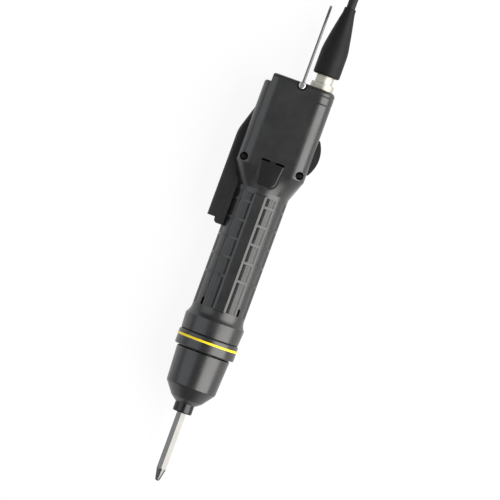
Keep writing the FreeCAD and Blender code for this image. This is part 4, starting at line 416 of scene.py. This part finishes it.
def groove_lining(low, width=1.3, depth=0.32):
    """V-shaped lining of a groove round the housing's right side: the V is carried along the outline, which
    is two quarter circles joined by a straight side, and stands square to it."""
    corner, corner_x, corner_level, lip, back = 10.0, 13.9, 11.0, 0.03, 0.88
    swing = np.linspace(0, pi / 2, 14)
    normal = np.concatenate([directions(swing), directions(swing + pi / 2)])
    centre = np.repeat([(corner_x, corner_level), (corner_x, -corner_level)], len(swing), 0)
    along = low + width * np.array([0.02, 0.5, 0.98, 0.98, 0.02])
    sunk = np.array([lip, depth, lip, back, back])
    flat = centre[:, None] + normal[:, None] * (corner - sunk)[None, :, None]
    return np.stack([flat[..., 0], along[None] + 0 * flat[..., 0], AXIS_HEIGHT + flat[..., 1]], -1)


# Finishes: shared effects are node groups, and each material places them with its own values.

PLASTIC_EDGE, METAL_EDGE = 0.0006, 0.0004    # how far wear reaches from an edge, m


def put(tree, kind, values=(), **settings):
    """Adds a node, sets its properties and then its unlinked sockets."""
    node = tree.nodes.new(kind)
    for key, value in settings.items():
        setattr(node, key, value)
    for key, value in dict(values).items():
        node.inputs[key].default_value = value
    return node


def effect(name, inputs, outputs):
    """A shader node group with named sockets, and its two end nodes."""
    group = bpy.data.node_groups.new(name, "ShaderNodeTree")
    for label, kind, value in inputs:
        socket = group.interface.new_socket(label, in_out="INPUT", socket_type=kind)
        if value is not None:
            socket.default_value = value
    for label in outputs:
        group.interface.new_socket(label, in_out="OUTPUT", socket_type="NodeSocketFloat")
    return group, put(group, "NodeGroupInput"), put(group, "NodeGroupOutput")


def moulded_grain_effect():
    """Spark-eroded mould skin: fine noise over rounded pits, and a slow mottle."""
    group, given, made = effect("moulded_grain", [("Vector", "NodeSocketVector", None),
                                                  ("Scale", "NodeSocketFloat", 1500.0)], ["Height", "Mottle"])
    link = group.links.new
    fine = put(group, "ShaderNodeTexNoise", {"Detail": 2.0, "Roughness": 0.6})
    pits = put(group, "ShaderNodeTexVoronoi", feature="SMOOTH_F1")
    slow = put(group, "ShaderNodeTexNoise", {"Scale": 55.0, "Detail": 4.0, "Roughness": 0.6})
    pit_scale = put(group, "ShaderNodeMath", {1: 0.6}, operation="MULTIPLY")
    blend = put(group, "ShaderNodeMath", {1: 0.6}, operation="MULTIPLY_ADD")
    mottle = put(group, "ShaderNodeMapRange", {"From Min": 0.3, "From Max": 0.7})
    for texture in (fine, pits, slow):
        link(given.outputs["Vector"], texture.inputs["Vector"])
    link(given.outputs["Scale"], fine.inputs["Scale"])
    link(given.outputs["Scale"], pit_scale.inputs[0])
    link(pit_scale.outputs[0], pits.inputs["Scale"])
    link(fine.outputs["Fac"], blend.inputs[0])
    link(pits.outputs["Distance"], blend.inputs[2])
    link(blend.outputs[0], made.inputs["Height"])
    link(slow.outputs["Fac"], mottle.inputs["Value"])
    link(mottle.outputs["Result"], made.inputs["Mottle"])
    return group


def edge_wear_effect():
    """Where a rounded normal leaves the flat one there is an edge; noise breaks the mask up as handling
    does."""
    group, given, made = effect("edge_wear", [("Vector", "NodeSocketVector", None),
                                              ("Radius", "NodeSocketFloat", PLASTIC_EDGE)], ["Mask"])
    link = group.links.new
    rounded = put(group, "ShaderNodeBevel", samples=4)
    flat = put(group, "ShaderNodeNewGeometry")
    agree = put(group, "ShaderNodeVectorMath", operation="DOT_PRODUCT")
    edge = put(group, "ShaderNodeMapRange", {"From Min": 0.985, "From Max": 0.8})
    patches = put(group, "ShaderNodeTexNoise", {"Scale": 160.0, "Detail": 3.0})
    broken = put(group, "ShaderNodeMapRange", {"From Min": 0.35, "From Max": 0.65, "To Min": 0.25})
    mask = put(group, "ShaderNodeMath", operation="MULTIPLY")
    link(given.outputs["Vector"], patches.inputs["Vector"])
    link(given.outputs["Radius"], rounded.inputs["Radius"])
    link(rounded.outputs["Normal"], agree.inputs[0])
    link(flat.outputs["Normal"], agree.inputs[1])
    link(agree.outputs["Value"], edge.inputs["Value"])
    link(patches.outputs["Fac"], broken.inputs["Value"])
    link(edge.outputs["Result"], mask.inputs[0])
    link(broken.outputs["Result"], mask.inputs[1])
    link(mask.outputs[0], made.inputs["Mask"])
    return group


def handling_effect():
    """Slow patches where hands have polished or dulled a surface, and fine crossing scratches in them."""
    group, given, made = effect("handling", [("Vector", "NodeSocketVector", None),
                                             ("Scale", "NodeSocketFloat", 70.0)], ["Smudge", "Scratch"])
    link = group.links.new
    smudge = put(group, "ShaderNodeTexNoise", {"Detail": 5.0, "Roughness": 0.65, "Distortion": 0.6})
    stretch = put(group, "ShaderNodeVectorMath", {1: (420.0, 60.0, 420.0)}, operation="MULTIPLY")
    bent = put(group, "ShaderNodeTexVoronoi", {"Scale": 1.0, "Randomness": 1.0}, feature="DISTANCE_TO_EDGE")
    thin = put(group, "ShaderNodeMapRange",
               {"From Min": 0.0, "From Max": 0.025, "To Min": 1.0, "To Max": 0.0})
    some = put(group, "ShaderNodeMapRange", {"From Min": 0.5, "From Max": 0.7})
    scratch = put(group, "ShaderNodeMath", operation="MULTIPLY")
    link(given.outputs["Vector"], smudge.inputs["Vector"])
    link(given.outputs["Scale"], smudge.inputs["Scale"])
    link(given.outputs["Vector"], stretch.inputs[0])
    link(stretch.outputs["Vector"], bent.inputs["Vector"])
    link(bent.outputs["Distance"], thin.inputs["Value"])
    link(smudge.outputs["Fac"], some.inputs["Value"])
    link(thin.outputs["Result"], scratch.inputs[0])
    link(some.outputs["Result"], scratch.inputs[1])
    link(smudge.outputs["Fac"], made.inputs["Smudge"])
    link(scratch.outputs[0], made.inputs["Scratch"])
    return group


def tool_marks_effect():
    """Fine marks of a tool: noise squeezed along the directions that Stretch makes large, in lines per
    metre."""
    group, given, made = effect("tool_marks", [("Vector", "NodeSocketVector", None),
                                               ("Stretch", "NodeSocketVector", (40.0, 4000.0, 40.0))],
                                ["Height", "Shade"])
    link = group.links.new
    stretch = put(group, "ShaderNodeVectorMath", operation="MULTIPLY")
    lines = put(group, "ShaderNodeTexNoise", {"Scale": 1.0, "Detail": 3.0, "Roughness": 0.7})
    shade = put(group, "ShaderNodeMapRange", {"From Min": 0.3, "From Max": 0.7})
    link(given.outputs["Vector"], stretch.inputs[0])
    link(given.outputs["Stretch"], stretch.inputs[1])
    link(stretch.outputs["Vector"], lines.inputs["Vector"])
    link(lines.outputs["Fac"], made.inputs["Height"])
    link(lines.outputs["Fac"], shade.inputs["Value"])
    link(shade.outputs["Result"], made.inputs["Shade"])
    return group


GRAIN, WEAR = moulded_grain_effect(), edge_wear_effect()
HANDLING, MARKS = handling_effect(), tool_marks_effect()


def finish_start(name):
    """A material with its shader, and a function that places an effect on Object coordinates in it."""
    material = bpy.data.materials.new(name)
    material.use_nodes = True
    tree = material.node_tree
    place = put(tree, "ShaderNodeTexCoord")

    def use(group, **values):
        node = put(tree, "ShaderNodeGroup", node_tree=group)
        for key, value in values.items():
            node.inputs[key].default_value = value
        tree.links.new(place.outputs["Object"], node.inputs["Vector"])
        return node

    return material, tree, tree.nodes["Principled BSDF"], use


def tint(tree, factor, first, second, amount=1.0):
    """Colour between two colours by a mask, at most amount of the second. The first may be a socket."""
    mix = put(tree, "ShaderNodeMix", data_type="RGBA")
    share = put(tree, "ShaderNodeMath", {1: amount}, operation="MULTIPLY")
    tree.links.new(factor, share.inputs[0])
    tree.links.new(share.outputs[0], mix.inputs["Factor"])
    if isinstance(first, bpy.types.NodeSocket):
        tree.links.new(first, mix.inputs[6])
    else:
        mix.inputs[6].default_value = (*first, 1.0)
    mix.inputs[7].default_value = (*second, 1.0)
    return mix.outputs[2]


def spread(tree, value, low, high):
    """The middle part of a noise's range carried to low to high."""
    node = put(tree, "ShaderNodeMapRange", {"From Min": 0.3, "From Max": 0.7, "To Min": low, "To Max": high})
    tree.links.new(value, node.inputs["Value"])
    return node.outputs["Result"]


def raise_by(tree, shader, height, depth, strength):
    """Bump on the shader's normal from a height of that depth in metres."""
    bump = put(tree, "ShaderNodeBump", {"Strength": strength, "Distance": depth})
    tree.links.new(height, bump.inputs["Height"])
    tree.links.new(bump.outputs["Normal"], shader.inputs["Normal"])


def moulded(name, colour, worn, roughness, grain=1500.0, depth=2.5e-5, bump=0.5, wear=0.5, ior=1.58):
    """Moulded plastic or rubber: mottled colour, paler edges, roughness that handling changes, a grained
    skin."""
    material, tree, shader, use = finish_start(name)
    skin, edge, touch = use(GRAIN, Scale=grain), use(WEAR, Radius=PLASTIC_EDGE), use(HANDLING)
    lighter, scratched, smoother, rougher = 1.28, 0.12, 0.05, 0.06
    light = tuple(min(1.0, channel * lighter) for channel in colour)
    body = tint(tree, skin.outputs["Mottle"], colour, light)
    body = tint(tree, touch.outputs["Scratch"], body, worn, scratched)
    tree.links.new(tint(tree, edge.outputs["Mask"], body, worn, wear), shader.inputs["Base Color"])
    tree.links.new(spread(tree, touch.outputs["Smudge"], roughness - smoother, roughness + rougher),
                   shader.inputs["Roughness"])
    shader.inputs["IOR"].default_value = ior
    raise_by(tree, shader, skin.outputs["Height"], depth, bump)
    return material


def metal(name, colour, stain, roughness, stretch, depth=4e-6, bump=0.35, wear=0.3, worn=(0.9, 0.89, 0.87)):
    """Bare or plated metal: tool marks along one direction, a faint stain, brighter edges."""
    material, tree, shader, use = finish_start(name)
    marks, edge, touch = use(MARKS, Stretch=stretch), use(WEAR, Radius=METAL_EDGE), use(HANDLING, Scale=110.0)
    stained, scratched, smoother, rougher = 0.35, 0.3, 0.05, 0.08
    shader.inputs["Metallic"].default_value = 1.0
    body = tint(tree, marks.outputs["Shade"], colour, stain, stained)
    body = tint(tree, touch.outputs["Scratch"], body, stain, scratched)
    tree.links.new(tint(tree, edge.outputs["Mask"], body, worn, wear), shader.inputs["Base Color"])
    tree.links.new(spread(tree, touch.outputs["Smudge"], roughness - smoother, roughness + rougher),
                   shader.inputs["Roughness"])
    raise_by(tree, shader, marks.outputs["Height"], depth, bump)
    return material


AROUND_Y = (60.0, 5000.0, 60.0)         # marks that circle the tool's axis
ALONG_Y = (5000.0, 60.0, 5000.0)        # marks that run along it
ALL_WAYS = (2500.0, 2500.0, 2500.0)     # grains that follow no direction
MOULDED = {
    "case_plastic": dict(colour=(0.0065, 0.0065, 0.0069), worn=(0.05, 0.05, 0.049), roughness=0.32, wear=0.25,
                         ior=1.65),
    "cell_plastic": dict(colour=(0.0065, 0.0065, 0.0069), worn=(0.05, 0.05, 0.049), roughness=0.47,
                         grain=900.0, depth=4e-5, bump=0.7, wear=0.1, ior=1.65),
    "black_plastic": dict(colour=(0.007, 0.007, 0.0074), worn=(0.03, 0.03, 0.03), roughness=0.36,
                          grain=1900.0, wear=0.15, ior=1.48),
    "window_plastic": dict(colour=(0.006, 0.006, 0.0065), worn=(0.03, 0.03, 0.03), roughness=0.14,
                           grain=500.0, depth=4e-6, bump=0.2),
    "marker_plastic": dict(colour=(0.8, 0.585, 0.007), worn=(0.85, 0.68, 0.1), roughness=0.4, grain=1200.0,
                           depth=1e-5, bump=0.3, ior=1.4),
    "nose_plastic": dict(colour=(0.006, 0.006, 0.0064), worn=(0.05, 0.05, 0.049), roughness=0.31,
                         grain=1700.0, depth=1.8e-5, wear=0.25, ior=1.65),
    "insulator": dict(colour=(0.07, 0.07, 0.068), worn=(0.14, 0.14, 0.135), roughness=0.5),
    "board": dict(colour=(0.012, 0.11, 0.04), worn=(0.45, 0.4, 0.2), roughness=0.35, grain=800.0, depth=8e-6,
                  bump=0.3),
    "boot_rubber": dict(colour=(0.005, 0.005, 0.0052), worn=(0.02, 0.02, 0.02), roughness=0.55, grain=1300.0,
                        depth=2e-5, bump=0.4, wear=0.2, ior=1.3),
    "cord_rubber": dict(colour=(0.007, 0.007, 0.0073), worn=(0.025, 0.025, 0.025), roughness=0.55,
                        grain=1300.0, depth=2e-5, bump=0.4, wear=0.2, ior=1.38),
}
METALS = {
    "blackened_steel": dict(colour=(0.05, 0.05, 0.052), stain=(0.025, 0.024, 0.024), roughness=0.26,
                            stretch=AROUND_Y, wear=0.4, worn=(0.35, 0.34, 0.33)),
    "steel": dict(colour=(0.56, 0.56, 0.55), stain=(0.42, 0.41, 0.4), roughness=0.3, stretch=AROUND_Y),
    "bright_steel": dict(colour=(0.74, 0.74, 0.72), stain=(0.55, 0.54, 0.52), roughness=0.22,
                         stretch=ALONG_Y),
    "tool_steel": dict(colour=(0.18, 0.178, 0.17), stain=(0.15, 0.148, 0.14), roughness=0.27, stretch=ALONG_Y,
                       bump=0.2, wear=0.1),
    "drawn_wire": dict(colour=(0.15, 0.15, 0.15), stain=(0.13, 0.13, 0.13), roughness=0.45, stretch=ALONG_Y,
                       bump=0.04, wear=0.05),
    "nickel": dict(colour=(0.53, 0.51, 0.44), stain=(0.44, 0.42, 0.36), roughness=0.5, stretch=AROUND_Y,
                   wear=0.1),
    "aluminium": dict(colour=(0.66, 0.66, 0.68), stain=(0.5, 0.5, 0.52), roughness=0.36, stretch=AROUND_Y),
    "sintered_steel": dict(colour=(0.3, 0.3, 0.31), stain=(0.2, 0.2, 0.2), roughness=0.5, stretch=ALL_WAYS,
                           depth=2e-5, bump=0.5),
    "magnet": dict(colour=(0.24, 0.24, 0.26), stain=(0.16, 0.16, 0.17), roughness=0.3, stretch=AROUND_Y),
    "copper": dict(colour=(0.72, 0.34, 0.13), stain=(0.5, 0.2, 0.07), roughness=0.28, stretch=AROUND_Y,
                   worn=(0.85, 0.5, 0.25)),
    "spring_steel": dict(colour=(0.48, 0.48, 0.48), stain=(0.3, 0.3, 0.3), roughness=0.3, stretch=ALONG_Y),
}
FINISH = {name: moulded(name, **look) for name, look in MOULDED.items()}
FINISH.update({name: metal(name, **look) for name, look in METALS.items()})


def dress(piece, finish):
    """Gives a piece or a node one of the finishes; most carry the name of a record's material slot."""
    piece.data.materials.clear()
    piece.data.materials.append(FINISH[finish])


def add(piece, body, slot, *stands_for):
    """A new piece rides on its body, takes its slot's finish and stands for its nodes."""
    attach(piece, body)
    dress(piece, slot)
    if stands_for:
        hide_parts(*stands_for)
    return piece


# The object: the frame's nodes in their finishes, and the new pieces.

for part in frame["record"]["subparts"]:
    dress(frame["nodes"][part["node"]], part["material_slot"])
dress(frame["nodes"]["bail"], "drawn_wire")
dress(frame["nodes"]["bit"], "tool_steel")

SIDES, FACES = (-1, 1), (-1, 1)
CASE_SCREW_X, CASE_SCREW_Y, CASE_SCREW_END, CASE_SCREW_SEAT = 19.6, -27.95, -13.45, 12.5
BAIL_X, BAIL_Y, BAIL_SCREW_END, BAIL_SCREW_SEAT = 0.7, 29.05, 10.85, 18.7
BAIL_SHANK, BAIL_HEAD, BAIL_HEAD_HIGH = 1.48, 2.58, 1.68
COLLAR_GAPS = ((-149.42, -148.68, 18.2, 19.8), (-160.52, -159.97, 16.1, 17.6))
BEHIND_VENTS = ((-131.4, -123.7, 16.03, 16.15),)
RAMP_SPANS = ((FLOOR_END, 40.4), (70.0, 80.4))
GROOVE_LOWS = (26.55, 21.05)
NEAR_PLUG, FAR_PLUG, NEAR_BOOT, FAR_BOOT = 22.2, 307.25, 41.45, 288.0

add(window_lens("window_lens"), "case", "window_plastic", "status_window")
add(solid_from_grids("cross_recess_screws", [cross_screw(side * CASE_SCREW_X, CASE_SCREW_Y, CASE_SCREW_END,
                                                         CASE_SCREW_SEAT) for side in SIDES]),
    "case", "blackened_steel", "case_screws")
add(solid_from_grids("bail_pivot_screws", [cross_screw(BAIL_X, BAIL_Y, BAIL_SCREW_END, BAIL_SCREW_SEAT, face,
                                                       BAIL_SHANK, BAIL_HEAD, BAIL_HEAD_HIGH)
                                           for face in FACES]), "case", "steel", "bail_screws")
# Dark rubber rings in the two collar gaps: painted shade, a dark fill put where the gaps hold only shade.
add(turned_rings("collar_seals", COLLAR_GAPS, edge=0.15), "case", "boot_rubber")
# Dark rubber ring behind the vent slots: painted shade, so the slots read dark instead of showing the bright
# parts inside.
add(turned_rings("vent_shield", BEHIND_VENTS, edge=0.04), "case", "boot_rubber")
add(solid_from_grids("centre_strips", [centre_strip(face) for face in FACES]), "case", "case_plastic")
cell_floors = add(solid_from_grids("cell_floors", [cell_floor(side, face) for side in SIDES
                                                   for face in FACES]), "case", "case_plastic")
dress(cell_floors, "cell_plastic")
add(solid_from_grids("cell_ramps", [cell_ramp(start, end, side, face) for start, end in RAMP_SPANS
                                    for side in SIDES for face in FACES]), "case", "case_plastic")
add(solid_from_grids("channel_floors", [channel_floor(side, face) for side in SIDES for face in FACES]),
    "case", "case_plastic")
add(solid_from_grids("groove_linings", [groove_lining(low) for low in GROOVE_LOWS]), "case", "case_plastic")
spring("clutch_spring", "case", seat=(0.0, -165.1, AXIS_HEIGHT),
       axis=(0, -1, 0), sizes=(13.1, 2.0, 14.5, 3))
spring("collet_spring", "spindle", seat=(0.0, -191.35, AXIS_HEIGHT),
       axis=(0, -1, 0), sizes=(5.45, 0.6, 7.85, 4))
spring("lever_spring", "case", seat=(-19.45, -62.65, AXIS_HEIGHT),
       axis=(-1, 0, 0), sizes=(2.0, 0.5, 7.7, 5))
add(socket_ring("socket_ring"), "case", "nickel", "socket_nut")
add(plug_barrel("plug_barrel", NEAR_AXIS, NEAR_PLUG, 1), "case", "nickel", "plug_shell")
far_barrel = add(plug_barrel("far_plug_barrel", FAR_AXIS, FAR_PLUG, -1), "case", "nickel", "far_plug_shell")
add(boot("plug_boot_rubber", NEAR_AXIS, NEAR_BOOT, 1), "case", "boot_rubber", "plug_boot")
far_boot = add(boot("far_plug_boot_rubber", FAR_AXIS, FAR_BOOT, -1), "case", "boot_rubber", "far_plug_boot")
hank_tie = add(tie("hank_tie"), "case", "cord_rubber")
flex = add(lead("supply_lead"), "case", "cord_rubber", "cord_lead", "cord_coil", "cord_tail")


# Studio: a white bench, a large soft lamp on the right, a weak one on the left, and a dim plain room.

BENCH_HALF, LAMP_Y = 12.0, -0.05      # m
BENCH_WHITE_SHARE = 0.9


def seen_white(tree, plain, share):
    """Carries a shader towards plain white for rays from the eye, in reflections and through glass."""
    link = tree.links.new
    rays = put(tree, "ShaderNodeLightPath")
    eye_or_gloss = put(tree, "ShaderNodeMath", operation="MAXIMUM")
    seen = put(tree, "ShaderNodeMath", operation="MAXIMUM")
    part_seen = put(tree, "ShaderNodeMath", {1: share}, operation="MULTIPLY")
    white = put(tree, "ShaderNodeEmission", {"Color": (1.0, 1.0, 1.0, 1.0), "Strength": 1.0})
    mix = put(tree, "ShaderNodeMixShader")
    link(rays.outputs["Is Camera Ray"], eye_or_gloss.inputs[0])
    link(rays.outputs["Is Glossy Ray"], eye_or_gloss.inputs[1])
    link(eye_or_gloss.outputs[0], seen.inputs[0])
    link(rays.outputs["Is Transmission Ray"], seen.inputs[1])
    link(seen.outputs[0], part_seen.inputs[0])
    link(part_seen.outputs[0], mix.inputs[0])
    link(plain, mix.inputs[1])
    link(white.outputs[0], mix.inputs[2])
    return mix.outputs[0]


def bench_white():
    """Matt white paper that is seen mostly as plain white; the part seen as it is lit keeps a faint
    shadow."""
    material = bpy.data.materials.new("bench_white")
    material.use_nodes = True
    tree = material.node_tree
    tree.nodes.remove(tree.nodes["Principled BSDF"])
    paper = put(tree, "ShaderNodeBsdfDiffuse", {"Color": (0.9, 0.9, 0.9, 1.0)})
    tree.links.new(seen_white(tree, paper.outputs[0], BENCH_WHITE_SHARE),
                   tree.nodes["Material Output"].inputs["Surface"])
    return material


def softbox(name, bearing, distance, width, length, radiance, tone):
    """Lamp on an arc over the tool: bearing is its angle from straight up towards the right; it faces the
    tool. Its watts are four times its radiance times its area."""
    data = bpy.data.lights.new(name, "AREA")
    data.shape = "RECTANGLE"
    data.size, data.size_y = width, length
    data.energy = 4 * radiance * width * length
    data.color = tone
    lamp = bpy.data.objects.new(name, data)
    lamp.location = (distance * sin(bearing), LAMP_Y, AXIS_HEIGHT * MM + distance * cos(bearing))
    lamp.rotation_euler = (0.0, bearing, 0.0)
    lamp.visible_camera = False
    SCENE.collection.objects.link(lamp)


bench_mesh = bpy.data.meshes.new("bench")
bench_corners = BENCH_HALF * np.array([(-1, -1, 0), (1, -1, 0), (1, 1, 0), (-1, 1, 0)])
bench_mesh.from_pydata(bench_corners.tolist(), [], [(0, 1, 2, 3)])
bench_mesh.materials.append(bench_white())
bench = bpy.data.objects.new("bench", bench_mesh)
SCENE.collection.objects.link(bench)

softbox("key_softbox", bearing=radians(53.0), distance=1.2, width=1.4, length=2.0, radiance=3.6,
        tone=(1.0, 0.985, 0.95))
softbox("fill_softbox", bearing=radians(-48.0), distance=1.3, width=1.4, length=1.4, radiance=0.85,
        tone=(0.93, 0.96, 1.0))

world = bpy.data.worlds.new("studio")
world.use_nodes = True
SCENE.world = world
room = world.node_tree.nodes["Background"]
room.inputs["Color"].default_value = (0.9, 0.92, 0.95, 1.0)
room.inputs["Strength"].default_value = 0.3

bpy.context.view_layer.update()
